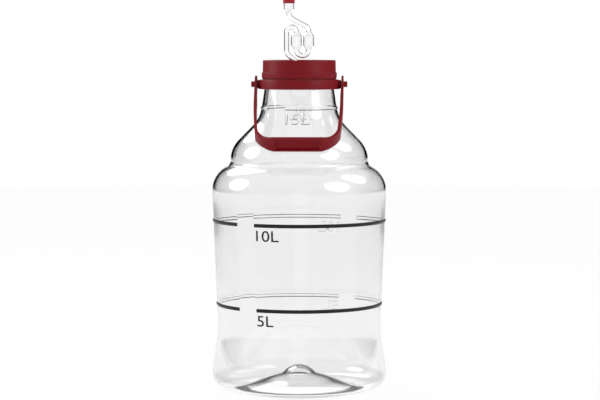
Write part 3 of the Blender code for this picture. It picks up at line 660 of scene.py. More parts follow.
def base_outline(at):
    """Underside and foot: push-up with its nipple, flat foot ring, base corner and band."""
    ball_r = (NIPPLE_R ** 2 + NIPPLE_H ** 2) / (2 * NIPPLE_H)
    ball_z = at.jar.push_up + NIPPLE_H - ball_r
    rim_angle = math.atan2(at.jar.push_up - ball_z, NIPPLE_R)
    points = arc((0.0, ball_z), ball_r, math.pi / 2, rim_angle, ARC_STEPS)
    points[0] = (0.0, at.jar.push_up + NIPPLE_H)
    foot_inner_r = at.jar.foot_r - FOOT_RING_W
    # The push-up falls from the nipple to the foot ring as a cone with a slight bulge
    cone = []
    for i in range(1, ARC_STEPS + 1):
        share = i / ARC_STEPS
        bulge = 4 * PUSH_UP_BULGE * share * (1 - share)
        cone.append((
            blend(NIPPLE_R, foot_inner_r, share),
            at.jar.push_up * (1 - share) + bulge,
        ))
    points += cone[:-1]
    # A shallow cone rises from the foot ring and meets the round base corner in line with it
    corner_x = at.jar.base_r - BASE_CORNER_R
    rise = (corner_x - at.jar.foot_r) * math.sin(FOOT_CONE_LEAN)
    corner_z = (BASE_CORNER_R + rise) / math.cos(FOOT_CONE_LEAN)
    start = FOOT_CONE_LEAN - math.pi / 2
    corner = arc((corner_x, corner_z), BASE_CORNER_R, start, 0.0, ARC_STEPS)
    foot = (at.jar.foot_r, 0.0)
    points += round_corner(cone[-2], cone[-1], foot, FOOT_EDGE_R, EDGE_STEPS)
    points += round_corner(cone[-1], foot, corner[0], FOOT_EDGE_R, EDGE_STEPS)
    points += corner
    points.append((at.jar.base_r, corner_z + BASE_BAND_H))
    return points


def body_outline(at):
    """Flare above the base, waist blend, body and the lower shoulder bulge down to its groove."""
    base_top = Vector(base_outline(at)[-1])
    waist = Vector((at.jar.waist_r, WAIST_Z))
    top = Vector((at.jar.body_r, BODY_TOP_Z))
    down = (base_top - waist).normalized()
    up = (top - waist).normalized()
    turn = math.pi - down.angle(up)
    tangent = WAIST_BLEND_R * math.tan(turn / 2)
    points = bezier(
        waist + down * tangent,
        waist + down * tangent / WAIST_PULL_DIVISOR,
        waist + up * tangent / WAIST_PULL_DIVISOR,
        waist + up * tangent,
        ARC_STEPS,
    )
    meet = math.atan2(at.hollow_rise, at.hollow_x - at.bulge_x)
    points += arc((at.bulge_x, BODY_TOP_Z), SHOULDER_BULGE_R, 0.0, meet, 2 * ARC_STEPS)
    # The groove's hollow touches both the bulge below and the straight groove wall
    hollow = (at.hollow_x, BODY_TOP_Z + at.hollow_rise)
    points += arc(hollow, GROOVE_BLEND_R, meet + math.pi, math.pi, ARC_STEPS)[1:]
    return points


def neck_outline(at):
    """Upper shoulder bulge and the swept neck, up to the collar's seat."""
    centre = (at.jar.groove_r - UPPER_BULGE_R, at.groove_z)
    points = arc(centre, UPPER_BULGE_R, 0.0, UPPER_BULGE_ANGLE, ARC_STEPS)
    start = Vector(points[-1])
    end = Vector((at.neck_foot_r, at.neck_foot_z))
    start_way = Vector((-math.sin(UPPER_BULGE_ANGLE), math.cos(UPPER_BULGE_ANGLE)))
    end_way = Vector((math.sin(NECK_FOOT_LEAN), -math.cos(NECK_FOOT_LEAN)))
    span = (end - start).length
    return points + bezier(
        start,
        start + start_way * span * NECK_PULL_SHARES[0],
        end + end_way * span * NECK_PULL_SHARES[1],
        end,
        2 * ARC_STEPS,
    )[1:]


def wall_thickness(at, r, z):
    """Wall: thickest inside the foot, thin round the base corner, thicker on the shoulder."""
    jar = at.jar
    if z <= jar.push_up + NIPPLE_H and r < jar.foot_r:
        return blend(jar.corner_wall, jar.base_wall, 2 * (1 - r / jar.foot_r))
    if z < WAIST_Z:
        return blend(jar.corner_wall, jar.wall, (z - BASE_CORNER_R) / (WAIST_Z - BASE_CORNER_R))
    if z < at.groove_z:
        return blend(jar.wall, jar.shoulder_wall, (z - BODY_TOP_Z) / (at.groove_z - BODY_TOP_Z))
    return blend(jar.shoulder_wall, jar.neck_wall, (z - at.groove_z) / NECK_SWEEP_H)


def jar_outline(at):
    """Whole wall of the jar: up the outside, over the rim and down the inside."""
    straight = (at.jar.neck_r, at.neck_foot_z + NECK_FOOT_H)
    skin = base_outline(at) + body_outline(at) + neck_outline(at) + [straight]
    top = at.finish_z
    corners = [
        (at.jar.neck_r, at.bead_z, 0.0),
        (at.bead_r, at.bead_z, BEAD_EDGE_R),
        (at.bead_r, at.bead_z + BEAD_H, BEAD_EDGE_R),
        (at.finish_r, at.bead_z + BEAD_H, 0.0),
        (at.finish_r, top, RIM_EDGE_R),
        (at.mouth_r, top, RIM_EDGE_R),
        (at.mouth_r, at.bead_z, 0.0),
    ]
    inside = offset_left(skin, [wall_thickness(at, r, z) for r, z in skin])
    inside[0] = (0.0, inside[0][1])
    return skin + soften(corners) + inside[::-1]


def radius_at(at, height):
    """Outside radius of the jar's wall at a height above its base corner."""
    wall = base_outline(at)[-2:] + body_outline(at) + neck_outline(at)
    for (r0, z0), (r1, z1) in zip(wall, wall[1:]):
        if z0 <= height < z1:
            return r0 + (r1 - r0) * (height - z0) / (z1 - z0)
    return at.jar.neck_r


def thread_shape(name, root_r, way, start_z):
    """Helical thread bead. way is +1 for an outside thread and -1 for an inside one."""
    crest_r = root_r + way * THREAD_DEPTH
    sink_r = root_r - way * THREAD_ROOT_SINK
    sink_half_w = THREAD_ROOT_W / 2 + THREAD_FLANK * THREAD_ROOT_SINK
    # Half a step on from the wall's own corners
    angle = math.pi / TURN_STEPS
    piece = draw_section(name, [
        (r * math.cos(angle), r * math.sin(angle), start_z + dz)
        for r, dz in (
            (sink_r, -sink_half_w),
            (crest_r, -THREAD_CREST_W / 2),
            (crest_r, THREAD_CREST_W / 2),
            (sink_r, sink_half_w),
        )
    ])
    bpy.ops.object.mode_set(mode="OBJECT")
    modify(
        piece, "SCREW", angle=THREAD_TURNS * math.tau, screw_offset=THREAD_PITCH * THREAD_TURNS,
        steps=round(THREAD_TURNS * TURN_STEPS), use_merge_vertices=False,
    )
    bpy.ops.object.mode_set(mode="EDIT")
    cap_ends()
    close_shape()
    return piece


def mark_strip(at, name, height, side):
    """One raised strip of a volume mark: half the way round, less the gap beside the number."""
    half_h = at.jar.mark_h / 2
    low_r = radius_at(at, height - half_h)
    high_r = radius_at(at, height + half_h)
    gap = MARK_GAP_L / radius_at(at, height)
    start = MARK_GAP_ANGLE + side * math.pi + gap / 2
    sweep = math.pi - gap
    sink = at.jar.wall / 2
    relief = at.jar.mark_relief
    corners = [
        (low_r - sink, height - half_h, 0.0),
        (low_r, height - half_h, 0.0),
        (low_r + relief, height - half_h + MARK_FLANK_H, MARK_EDGE_R),
        (high_r + relief, height + half_h - MARK_FLANK_H, MARK_EDGE_R),
        (high_r, height + half_h, 0.0),
        (high_r - sink, height + half_h, 0.0),
    ]
    outline = soften(corners, BEVEL_STEPS)
    strip = draw_section(name, [
        (r * math.cos(start), r * math.sin(start), z) for r, z in outline
    ])
    bpy.ops.mesh.spin(
        steps=TURN_STEPS // 2, angle=sweep, center=(0.0, 0.0, 0.0), axis=(0.0, 0.0, -1.0)
    )
    cap_ends()
    close_shape()
    return strip


def raised_number(at, jar, word, height, side):
    """Raised volume number just under its mark, wrapped onto the wall."""
    bpy.ops.object.text_add()
    text = bpy.context.object
    text.data.body = word
    text.data.align_x = "CENTER"
    text.data.align_y = "CENTER"
    text.data.size = at.jar.number_h / CAPITAL_SHARE
    text.data.resolution_u = LETTER_STEPS
    text.data.offset = NUMBER_SPREAD
    bpy.context.view_layer.update()
    half_l = text.dimensions.x / 2 * NUMBER_STRETCH
    middle_z = height - at.jar.mark_h / 2 - at.jar.number_h * NUMBER_DROP_SHARE
    gap = MARK_GAP_L / radius_at(at, height)
    angle = MARK_GAP_ANGLE + side * math.pi + gap / 2 + half_l / radius_at(at, middle_z)
    bpy.ops.object.convert(target="MESH")
    number = bpy.context.object
    number.name = f"number_{word}_{side}"
    bpy.ops.transform.resize(value=(NUMBER_STRETCH, 1.0, 1.0))
    bpy.ops.object.mode_set(mode="EDIT")
    merge_all()
    bpy.ops.mesh.dissolve_limited(angle_limit=FLAT_ANGLE)
    # The strokes' middles stand out, and a border slopes down from them to the wall
    bpy.ops.mesh.inset(thickness=NUMBER_EDGE)
    bpy.ops.object.vertex_group_assign_new()
    bpy.ops.mesh.select_all(action="SELECT")
    bpy.ops.mesh.quads_convert_to_tris()
    bpy.ops.mesh.subdivide(number_cuts=1)
    bpy.ops.object.mode_set(mode="OBJECT")
    reach = at.jar.base_r + CUT_OVERRUN
    number.rotation_euler = (math.pi / 2, 0.0, angle + math.pi / 2)
    number.location = (reach * math.cos(angle), reach * math.sin(angle), middle_z)
    bpy.context.view_layer.update()
    modify(
        number, "SHRINKWRAP", target=jar, wrap_method="PROJECT", use_project_z=True,
        use_negative_direction=True, use_positive_direction=False,
    )
    modify(
        number, "SOLIDIFY", thickness=2 * NUMBER_RELIEF, offset=0.0,
        vertex_group=number.vertex_groups[0].name, thickness_vertex_group=NUMBER_RIM_SHARE,
    )
    bpy.ops.object.transform_apply()
    return number


def darken_front_marks(at, jar, marks):
    """Make the raised faces of some marks and numbers on the front half of the jar near black."""
    jar.data.materials.append(dark_mark_material(at.finishes.dark_mark_tint))
    choose(jar)
    bpy.ops.object.mode_set(mode="EDIT")
    bpy.ops.mesh.select_mode(type="FACE")
    bpy.ops.mesh.select_all(action="DESELECT")
    bpy.ops.object.mode_set(mode="OBJECT")
    low = at.jar.mark_h / 2 + at.jar.number_h * (NUMBER_DROP_SHARE + 1 / 2)
    for face in jar.data.polygons:
        x, y, z = face.center
        relief = math.hypot(x, y) - radius_at(at, z)
        raised = relief > at.jar.mark_relief / DARK_FACE_RELIEF_DIVISOR
        near = any(height - low < z < height + at.jar.mark_h / 2 for height in marks)
        # Only the front half, with y below 0, turns near black; the back halves of the same marks
        # stay clear
        face.select = raised and near and y < 0.0
    bpy.ops.object.mode_set(mode="EDIT")
    jar.active_material_index = 1
    bpy.ops.object.material_slot_assign()
    bpy.ops.mesh.select_mode(type="VERT")
    bpy.ops.object.mode_set(mode="OBJECT")


class CARBOY_OT_jar(bpy.types.Operator):
    """Model the blown jar with its thread, its volume marks and their numbers"""

    bl_idname = "carboy.jar"
    bl_label = "Jar"

    def execute(self, context):
        at = settings()
        jar = turn_piece("jar_clear", jar_outline(at), closed=False)
        extras = [thread_shape("jar_thread", at.finish_r, 1, at.thread_z)]
        for word, height in zip(MARK_WORDS, MARK_HEIGHTS):
            for side in (0, 1):
                extras.append(mark_strip(at, f"mark_{word}_{side}", height, side))
                extras.append(raised_number(at, jar, word, height, side))
        combine(jar, join(extras), "UNION")
        # Blow-moulded PET: clear and glossy, with waves of 40 mm from the stretching
        pet = clear_plastic(
            "blown_clear_pet", at.finishes.pet, ior=1.57, waves=PET_WAVES, strength=0.15,
            depth=0.0004,
        )
        finish_piece(jar, pet, "jar", "clear_pet", "jar")
        darken_front_marks(at, jar, MARK_HEIGHTS[:2])
        return {"FINISHED"}


# Lid, gasket and collar


class CARBOY_OT_lid(bpy.types.Operator):
    """Model the screw lid with its recess and thread, and the gasket under its top"""

    bl_idname = "carboy.lid"
    bl_label = "Lid and gasket"

    def execute(self, context):
        at = settings()
        band_r = at.lid_skirt_r + LID_BAND_T
        band_top_z = at.lid_bottom_z + LID_BAND_H
        top_r = at.lid_skirt_r - LID_DRAFT
        recess_r = at.lid_plug_r - LID_PLUG_T
        floor_bottom_z = at.lid_floor_z - LID_FLOOR_T
        lip_r = at.bead_r + LID_BEAD_CLEARANCE
        lip_z = at.bead_z + SEAT_GAP
        outline = soften([
            (at.lid_bore_r, at.lid_bottom_z, 0.0),
            (lip_r, at.lid_bottom_z, 0.0),
            (lip_r, lip_z, 0.0),
            (lip_r + LID_LIP_T, lip_z, 0.0),
            (lip_r + LID_LIP_T, at.lid_bottom_z, 0.0),
            (band_r, at.lid_bottom_z, LID_EDGE_R / 2),
            (band_r, band_top_z, LID_EDGE_R),
            (at.lid_skirt_r, band_top_z, LID_EDGE_R / 2),
            (top_r, at.lid_top_z, LID_TOP_EDGE_R),
            (recess_r, at.lid_top_z, LID_EDGE_R),
            (recess_r, at.lid_floor_z, LID_EDGE_R),
            (LID_HOLE_R, at.lid_floor_z, 0.0),
            (LID_HOLE_R, floor_bottom_z, 0.0),
            (at.lid_plug_r, floor_bottom_z, LID_EDGE_R),
            (at.lid_plug_r, at.lid_underside_z, 0.0),
            (at.lid_bore_r, at.lid_underside_z, 0.0),
        ])
        lid = turn_piece("lid_screw", outline)
        overlap = THREAD_DEPTH - THREAD_GAP
        below = THREAD_CREST_W + THREAD_FLANK * overlap + THREAD_GAP
        combine(lid, thread_shape("lid_thread", at.lid_bore_r, -1, at.thread_z - below), "UNION")
        finish_piece(lid, red_polypropylene(at), "lid", "dark_red_plastic", "screw_lid")
        bottom_z = at.finish_z + SEAT_GAP
        inner_r = at.lid_plug_r + SEAT_GAP
        outer_r = at.lid_bore_r - SEAT_GAP
        gasket = turn_piece("gasket_foam", soften([
            (inner_r, bottom_z, SEAT_GAP),
            (outer_r, bottom_z, SEAT_GAP),
            (outer_r, bottom_z + GASKET_T, SEAT_GAP),
            (inner_r, bottom_z + GASKET_T, SEAT_GAP),
        ]))
        # Closed-cell foam: matt white, its cells drawn 1.1 mm wide so that they show
        foam = moulded_rubber("die_cut_white_foam", at.finishes.foam, FOAM_CELLS, 0.85)
        finish_piece(gasket, foam, "gasket", "white_foam", "lid_gasket")
        return {"FINISHED"}


def side_bar(at, name, radius, start_x, end_x, edge=0.0):
    """Round bar along X at the pivot's height, with rounded ends where an edge is given."""
    bpy.ops.mesh.primitive_cylinder_add(
        vertices=SMALL_TURN_STEPS, radius=radius, depth=abs(end_x - start_x),
        location=((start_x + end_x) / 2, 0.0, at.pivot_z), rotation=(0.0, math.pi / 2, 0.0),
    )
    bar = bpy.context.object
    bar.name = name
    bpy.ops.object.transform_apply()
    if edge:
        modify(
            bar, "BEVEL", width=edge, segments=BEVEL_STEPS, limit_method="ANGLE",
            angle_limit=SMOOTH_ANGLE,
        )
    return bar


class CARBOY_OT_collar(bpy.types.Operator):
    """Model the ring under the neck bead with its bosses and pivot pins"""

    bl_idname = "carboy.collar"
    bl_label = "Collar"

    def execute(self, context):
        at = settings()
        collar = turn_piece("collar_ring", soften([
            (at.collar_bore_r, at.neck_foot_z, 0.0),
            (at.collar_foot_r, at.neck_foot_z, COLLAR_EDGE_R / 2),
            (at.collar_top_r, at.collar_top_z, COLLAR_EDGE_R),
            (at.collar_bore_r, at.collar_top_z, 0.0),
        ]))
        middle_x = (at.collar_bore_r + at.collar_top_r) / 2
        for way in (-1, 1):
            boss = side_bar(at, "boss", BOSS_R, way * middle_x, way * at.boss_x)
            combine(collar, boss, "UNION")
            pin = side_bar(
                at, "pin", at.bail.pin_r, way * (at.boss_x - PIN_SINK), way * at.pin_tip_x,
                PIN_EDGE_R,
            )
            combine(collar, pin, "UNION")
        finish_piece(
            collar, red_polypropylene(at), "collar", "dark_red_plastic", "handle_collar"
        )
        return {"FINISHED"}


# Bail


def bail_stations(at):
    """Stations along half of the strap's middle as (x, reach, width, thickness)."""
    strap = at.bail
    outer_x = at.eye_x + strap.strap_t / 2
    corner_reach = strap.reach - BAIL_CORNER_R
    stations = []
    for i in range(1, 2 * ARC_STEPS):
        angle = math.pi * i / (3 * ARC_STEPS)
        width = 2 * BAIL_EYE_R * math.sin(angle)
        stations.append((outer_x, -BAIL_EYE_R * math.cos(angle), width, strap.strap_t))
    last_reach, last_width = stations[-1][1:3]
    for i in range(1, ARC_STEPS + 1):
        share = i / ARC_STEPS
        ease = share * share * (3 - 2 * share)
        reach = blend(last_reach, BAIL_NECKING_L, share)
        width = blend(last_width, strap.arm_w, ease)
        extra = (BAIL_ARM_T - strap.strap_t) * ease
        stations.append((outer_x - extra / 2, reach, width, strap.strap_t + extra))
    outer_x -= extra / 2
    steepest = 2 * BAIL_LEAN / (corner_reach - BAIL_NECKING_L)
    for i in range(1, ARC_STEPS):
        share = i / ARC_STEPS
        reach = blend(BAIL_NECKING_L, corner_reach, share)
        stations.append((outer_x - BAIL_LEAN * share * share, reach, strap.arm_w, BAIL_ARM_T))
    start = math.atan(steepest)
    centre_x = outer_x - BAIL_LEAN - BAIL_CORNER_R * math.cos(start)
    for x, reach in arc((centre_x, corner_reach), BAIL_CORNER_R, start, math.pi / 2, 2 * ARC_STEPS):
        share = (BAIL_GRIP_HALF_L + BAIL_FLARE_L - abs(x)) / BAIL_FLARE_L
        width = blend(strap.arm_w, strap.grip_w, share)
        stations.append((x, reach, width, blend(BAIL_ARM_T, strap.grip_t, share)))
    return stations


def bail_tilt(at):
    """The bail's angle from straight down, found from how low its CAD node reaches."""
    lowest = at.pivot_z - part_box("bail_handle")[0][2]
    outer = at.bail.reach + at.bail.grip_t / 2
    half = at.bail.grip_w / 2
    reach = math.hypot(outer, half)
    return math.acos(lowest / reach) + math.atan2(half, outer)


class CARBOY_OT_bail(bpy.types.Operator):
    """Model the strap bail with its eyes and its recessed grip, resting on the shoulder"""

    bl_idname = "carboy.bail"
    bl_label = "Bail"

    def execute(self, context):
        at = settings()
        strap = at.bail
        half = bail_stations(at)
        stations = half + [(-x, reach, w, t) for x, reach, w, t in reversed(half)]
        x, reach, width = stations[0][:3]
        bail = start_piece("bail_strap", (x, -width / 2, at.pivot_z - reach))
        bpy.ops.mesh.extrude_region_move(TRANSFORM_OT_translate={"value": (0.0, width, 0.0)})
        bpy.ops.mesh.select_all(action="SELECT")
        for before, after in zip(stations, stations[1:]):
            step = (after[0] - before[0], 0.0, before[1] - after[1])
            bpy.ops.mesh.extrude_region_move(TRANSFORM_OT_translate={"value": step})
            bpy.ops.transform.resize(
                value=(1.0, after[2] / before[2], 1.0),
                center_override=(after[0], 0.0, at.pivot_z - after[1]),
            )
        bpy.ops.object.mode_set(mode="OBJECT")
        group = bail.vertex_groups.new(name="thickness")
        for i, station in enumerate(stations):
            group.add([2 * i, 2 * i + 1], station[3] / BAIL_ARM_T, "REPLACE")
        modify(
            bail, "SOLIDIFY", thickness=BAIL_ARM_T, offset=0.0, use_even_offset=True,
            vertex_group="thickness",
        )
        for way in (-1, 1):
            start_x = way * (at.eye_x - CUT_OVERRUN)
            end_x = way * (at.eye_x + strap.strap_t + CUT_OVERRUN)
            hole = side_bar(at, "eye", strap.pin_r + BAIL_EYE_CLEARANCE, start_x, end_x)
            combine(bail, hole, "DIFFERENCE")
        panel_x = BAIL_GRIP_HALF_L - GRIP_PANEL_BORDER
        panel_w = strap.grip_w / 2 - GRIP_PANEL_BORDER
        bottom_z = at.pivot_z - strap.reach - strap.grip_t / 2
        bpy.ops.mesh.primitive_cube_add(
            size=1.0, location=(0.0, 0.0, bottom_z + GRIP_PANEL_DEPTH - strap.grip_t / 2),
            scale=(2 * panel_x, 2 * panel_w, strap.grip_t),
        )
        panel = bpy.context.object
        bpy.ops.object.transform_apply()
        combine(bail, panel, "DIFFERENCE")
        modify(
            bail, "BEVEL", width=BAIL_EDGE_R, segments=BEVEL_STEPS, limit_method="ANGLE",
            angle_limit=BAIL_EDGE_ANGLE, use_clamp_overlap=True,
        )
        # It hangs straight down so far: turn it forward about its pins
        pivot = Matrix.Translation((0, 0, at.pivot_z))
        turn = Matrix.Rotation(-bail_tilt(at), 4, "X")
        bail.data.transform(pivot @ turn @ pivot.inverted())
        finish_piece(bail, red_polypropylene(at), "bail", "dark_red_plastic", "bail_handle")
        return {"FINISHED"}


# Airlock, grommet and dust cap


def airlock_path(at):
    """Stations along the tube from the stem's tip to the cup's rim, as (x, z, radius)."""
    stem_tip = (0.0, at.lid_floor_z - LID_FLOOR_T - STEM_DROP)
    elbow = (0.0, at.elbow_z)
    riser_foot = (at.riser_x, at.elbow_z - at.riser_x * math.tan(ELBOW_SLOPE))
    riser_top = (at.riser_x, at.bubble_top_z)
    arch = ((at.riser_x + LEFT_BUBBLE_X) / 2, at.bubble_top_z)
    loop = ((LEFT_BUBBLE_X + at.right_x) / 2, at.bubble_bottom_z)
    loop_r = (at.right_x - LEFT_BUBBLE_X) / 2
    cup_bend = BEND_R * math.tan((math.pi / 2 - CROSSOVER_SLOPE) / 2)
    cup_foot = (at.cup_x, at.cup_neck_z - cup_bend - CUP_NECK_L)
    far_z = cup_foot[1] - (at.right_x - at.cup_x) * math.tan(CROSSOVER_SLOPE)
    far_corner = (at.right_x, far_z)
    right_top = (at.right_x, at.bubble_top_z)
    cup_top = (at.cup_x, at.cup_rim_z)
    cone_foot = (at.cup_x, at.cup_neck_z, at.air.tube_r)
    cone_top = (at.cup_x, at.cup_neck_z + CUP_CONE_H, at.air.cup_r)
    steps = ARC_STEPS
    runs = (
        [stem_tip],
        round_corner(stem_tip, elbow, riser_foot, BEND_R, steps),
        round_corner(elbow, riser_foot, riser_top, BEND_R, steps),
        arc(arch, at.arch_r, math.pi, 0.0, 2 * steps),
        bubble_stations(at, LEFT_BUBBLE_X, -1),
        arc(loop, loop_r, math.pi, math.tau, 2 * steps),
        bubble_stations(at, at.right_x, 1),
        [right_top],
        round_corner(right_top, far_corner, cup_foot, BEND_R, steps),
        round_corner(far_corner, cup_foot, cup_top, BEND_R, steps),
        [cone_foot],
        ease_radius(cone_foot, cone_top),
        [(at.cup_x, cone_top[1] + BUBBLE_SUPPORT, at.air.cup_r), (*cup_top, at.air.cup_r)],
    )
    # A station that names no radius has the tube's own
    return [(*station, at.air.tube_r)[:3] for run in runs for station in run]


def ease_radius(start, end):
    """Stations of a cone between two, with the radius easing in and out a little."""
    stations = []
    for i in range(1, CONE_STEPS + 1):
        share = i / CONE_STEPS
        ease = (1 - CONE_EASE) * share + CONE_EASE * share * share * (3 - 2 * share)
        stations.append((
            start[0], blend(start[1], end[1], share), blend(start[2], end[2], ease),
        ))
    return stations


def bubble_stations(at, x, way):
    """Stations of one bubble chamber, upwards for way +1 and downwards for -1."""
    levels = [
        (x, at.bubble_bottom_z, at.air.tube_r),
        (x, at.bubble_bottom_z + BUBBLE_CONE_H, at.air.bubble_r),
        (x, at.bubble_top_z - BUBBLE_CONE_H, at.air.bubble_r),
        (x, at.bubble_top_z, at.air.tube_r),
    ]
    if way < 0:
        levels.reverse()
    stations = ease_radius(levels[0], levels[1])
    # Stations close to both corners keep the straight wall between them straight to the eye
    for z in (levels[1][1] + way * BUBBLE_SUPPORT, levels[2][1] - way * BUBBLE_SUPPORT):
        stations.append((x, z, at.air.bubble_r))
    return stations + [levels[2]] + ease_radius(levels[2], levels[3])[:-1]


class CARBOY_OT_airlock(bpy.types.Operator):
    """Model the bent tube of the airlock and part it into its two moulded halves"""

    bl_idname = "carboy.airlock"
    bl_label = "Airlock"

    def execute(self, context):
        at = settings()
        path = airlock_path(at)
        bpy.ops.curve.primitive_nurbs_path_add()
        curve = bpy.context.object
        curve.data.splines.clear()
        spline = curve.data.splines.new("POLY")
        spline.points.add(len(path) - 1)
        for point, (x, z, radius) in zip(spline.points, path):
            point.co = (x, 0.0, z, 1.0)
            point.radius = radius
        curve.data.dimensions = "3D"
        curve.data.twist_mode = "MINIMUM"
        curve.data.bevel_depth = 1.0
        curve.data.bevel_resolution = TUBE_STEPS
        bpy.ops.object.convert(target="MESH")
        tube = bpy.context.object
        bpy.ops.object.mode_set(mode="EDIT")
        close_shape()
        modify(tube, "SOLIDIFY", thickness=at.air.wall, offset=-1.0, use_even_offset=False)
        # Injection-moulded crystal styrene: water clear and glossy, with short waves of 17 mm
        styrene = clear_plastic(
            "moulded_clear_styrene", WHITE[:3], ior=1.59, waves=STYRENE_WAVES, strength=0.1,
            depth=0.0002,
        )
        for way, word in ((-1, "front"), (1, "rear")):
            choose(tube)
            bpy.ops.object.duplicate()
            half = bpy.context.object
            half.name = f"airlock_{word}"
            bpy.ops.object.mode_set(mode="EDIT")
            bpy.ops.mesh.select_all(action="SELECT")
            bpy.ops.mesh.bisect(
                plane_co=(0.0, way * AIRLOCK_SEAM / 2, 0.0), plane_no=(0.0, -way, 0.0),
                use_fill=True, clear_outer=True,
            )
            close_shape()
            finish_piece(half, styrene, "airlock", "clear_styrene", f"airlock_{word}_half")
        bpy.data.objects.remove(tube)
        return {"FINISHED"}


class CARBOY_OT_airlock_seat(bpy.types.Operator):
    """Model the rubber grommet round the airlock's stem and the dust cap on its cup"""

    bl_idname = "carboy.airlock_seat"
    bl_label = "Grommet and dust cap"

    def execute(self, context):
        at = settings()
        bore_r = at.air.tube_r + SEAT_GAP
        groove_r = LID_HOLE_R - SEAT_GAP
        floor_bottom = at.lid_floor_z - LID_FLOOR_T
        top = at.lid_floor_z + SEAT_GAP + GROMMET_FLANGE_T
        bottom = floor_bottom - SEAT_GAP - GROMMET_FLANGE_T
        grommet = turn_piece("grommet_rubber", soften([
            (bore_r, bottom, GROMMET_EDGE_R),
            (GROMMET_FLANGE_R, bottom, GROMMET_EDGE_R),
            (GROMMET_FLANGE_R, floor_bottom - SEAT_GAP, 0.0),
            (groove_r, floor_bottom - SEAT_GAP, 0.0),
            (groove_r, at.lid_floor_z + SEAT_GAP, 0.0),
            (GROMMET_FLANGE_R, at.lid_floor_z + SEAT_GAP, 0.0),
            (GROMMET_FLANGE_R, top, GROMMET_EDGE_R),
            (bore_r, top, GROMMET_EDGE_R),
        ]), SMALL_TURN_STEPS)
        # Moulded rubber: matt and pale, with a soft grain of 2 mm
        rubber = moulded_rubber("moulded_pale_rubber", at.finishes.rubber, RUBBER_GRAIN, 0.6)
        finish_piece(grommet, rubber, "grommet", "pale_rubber", "grommet")
        inner_r = at.air.cup_r + 2 * SEAT_GAP
        outer_r = inner_r + DUST_CAP_T - SEAT_GAP / 2
        ceiling_z = at.cup_rim_z + SEAT_GAP
        top_z = ceiling_z + DUST_CAP_TOP_T
        bottom_z = ceiling_z - DUST_CAP_SKIRT_L
        side = soften([
            (0.0, ceiling_z, 0.0),
            (inner_r, ceiling_z, 0.0),
            (inner_r, bottom_z, 0.0),
            (outer_r, bottom_z, DUST_CAP_T / 4),
            (outer_r, top_z, DUST_CAP_T),
            (0.0, top_z, 0.0),
        ])
        cap = turn_piece("dust_cap", side, SMALL_TURN_STEPS, False, at.cup_x)
        for number in range(VENT_COUNT):
            angle = math.tau * (number + 1 / 2) / VENT_COUNT
            bpy.ops.mesh.primitive_cylinder_add(
                vertices=VENT_STEPS, radius=VENT_R, depth=DUST_CAP_TOP_T + 2 * CUT_OVERRUN,
                location=(
                    at.cup_x + VENT_CIRCLE_R * math.cos(angle), VENT_CIRCLE_R * math.sin(angle),
                    (ceiling_z + top_z) / 2,
                ),
            )
            combine(cap, bpy.context.object, "DIFFERENCE")
        # Polyethylene in a brighter red, from the same kind of mould
        red = moulded_red("moulded_red_polyethylene", at.finishes.cap_red)
        finish_piece(cap, red, "dust_cap", "red_dust_cap_plastic", "airlock_dust_cap")
        return {"FINISHED"}


# Stage


def sine(degrees):
    """Reach, up or aside, of a direction of length 1 that points so many degrees that way."""
    return math.sin(math.radians(degrees))


def studio_world(stage):
    """White floor and backdrop, dark above the backdrop, pale overhead and in front."""
    world = bpy.data.worlds.new("studio")
    world.use_nodes = True
    bpy.context.scene.world = world
    tree = world.node_tree
    tree.nodes.clear()
    rays = add_node(tree, "ShaderNodeLightPath").outputs
    way = add_node(tree, "ShaderNodeTexCoord").outputs["Generated"]
    split = add_node(tree, "ShaderNodeSeparateXYZ", Vector=way).outputs
    aside = add_node(tree, "ShaderNodeMath", split["X"], operation="ABSOLUTE")
    # The backdrop is only as wide as the picture, so its sides leave dark edges on the clear
    # wall. Low down, the white floor runs on to the sides.
    level, width, sweep, ceiling, front = (
        add_node(
            tree, "ShaderNodeMapRange", Value=place, interpolation_type="SMOOTHSTEP",
            From_Min=start, From_Max=end, To_Min=first, To_Max=last,
        )
        for place, start, end, first, last in (
            (split["Z"], sine(8), sine(12), 1.0, stage.studio_dark),
            (aside, sine(9.5), sine(12), 1.0, 0.0),
            (split["Z"], sine(-2.5), sine(-1), 1.0, 0.0),
            (split["Z"], sine(24), sine(36), 0.0, stage.room),
            (split["Y"], 0.2, -0.3, 0.0, stage.room),
        )
    )
    pale = add_node(tree, "ShaderNodeMath", front, ceiling, operation="MAXIMUM")
    spread = add_node(tree, "ShaderNodeMath", width, sweep, operation="MAXIMUM")
    backdrop = add_node(tree, "ShaderNodeMath", level, spread, operation="MULTIPLY")
    room = add_node(tree, "ShaderNodeMath", backdrop, pale, operation="MAXIMUM")
    # What gloss and clear plastic see; the camera sees plain white
    sharp = add_node(
        tree, "ShaderNodeMath", rays["Is Glossy Ray"], rays["Is Transmission Ray"],
        operation="MAXIMUM",
    )
    seen = add_node(tree, "ShaderNodeMix", data_type="FLOAT", Factor=sharp, A=stage.fill, B=room)
    strength = add_node(
        tree, "ShaderNodeMath", rays["Is Camera Ray"], seen, operation="MAXIMUM"
    )
    background = add_node(tree, "ShaderNodeBackground", Color=WHITE, Strength=strength)
    add_node(tree, "ShaderNodeOutputWorld", Surface=background)


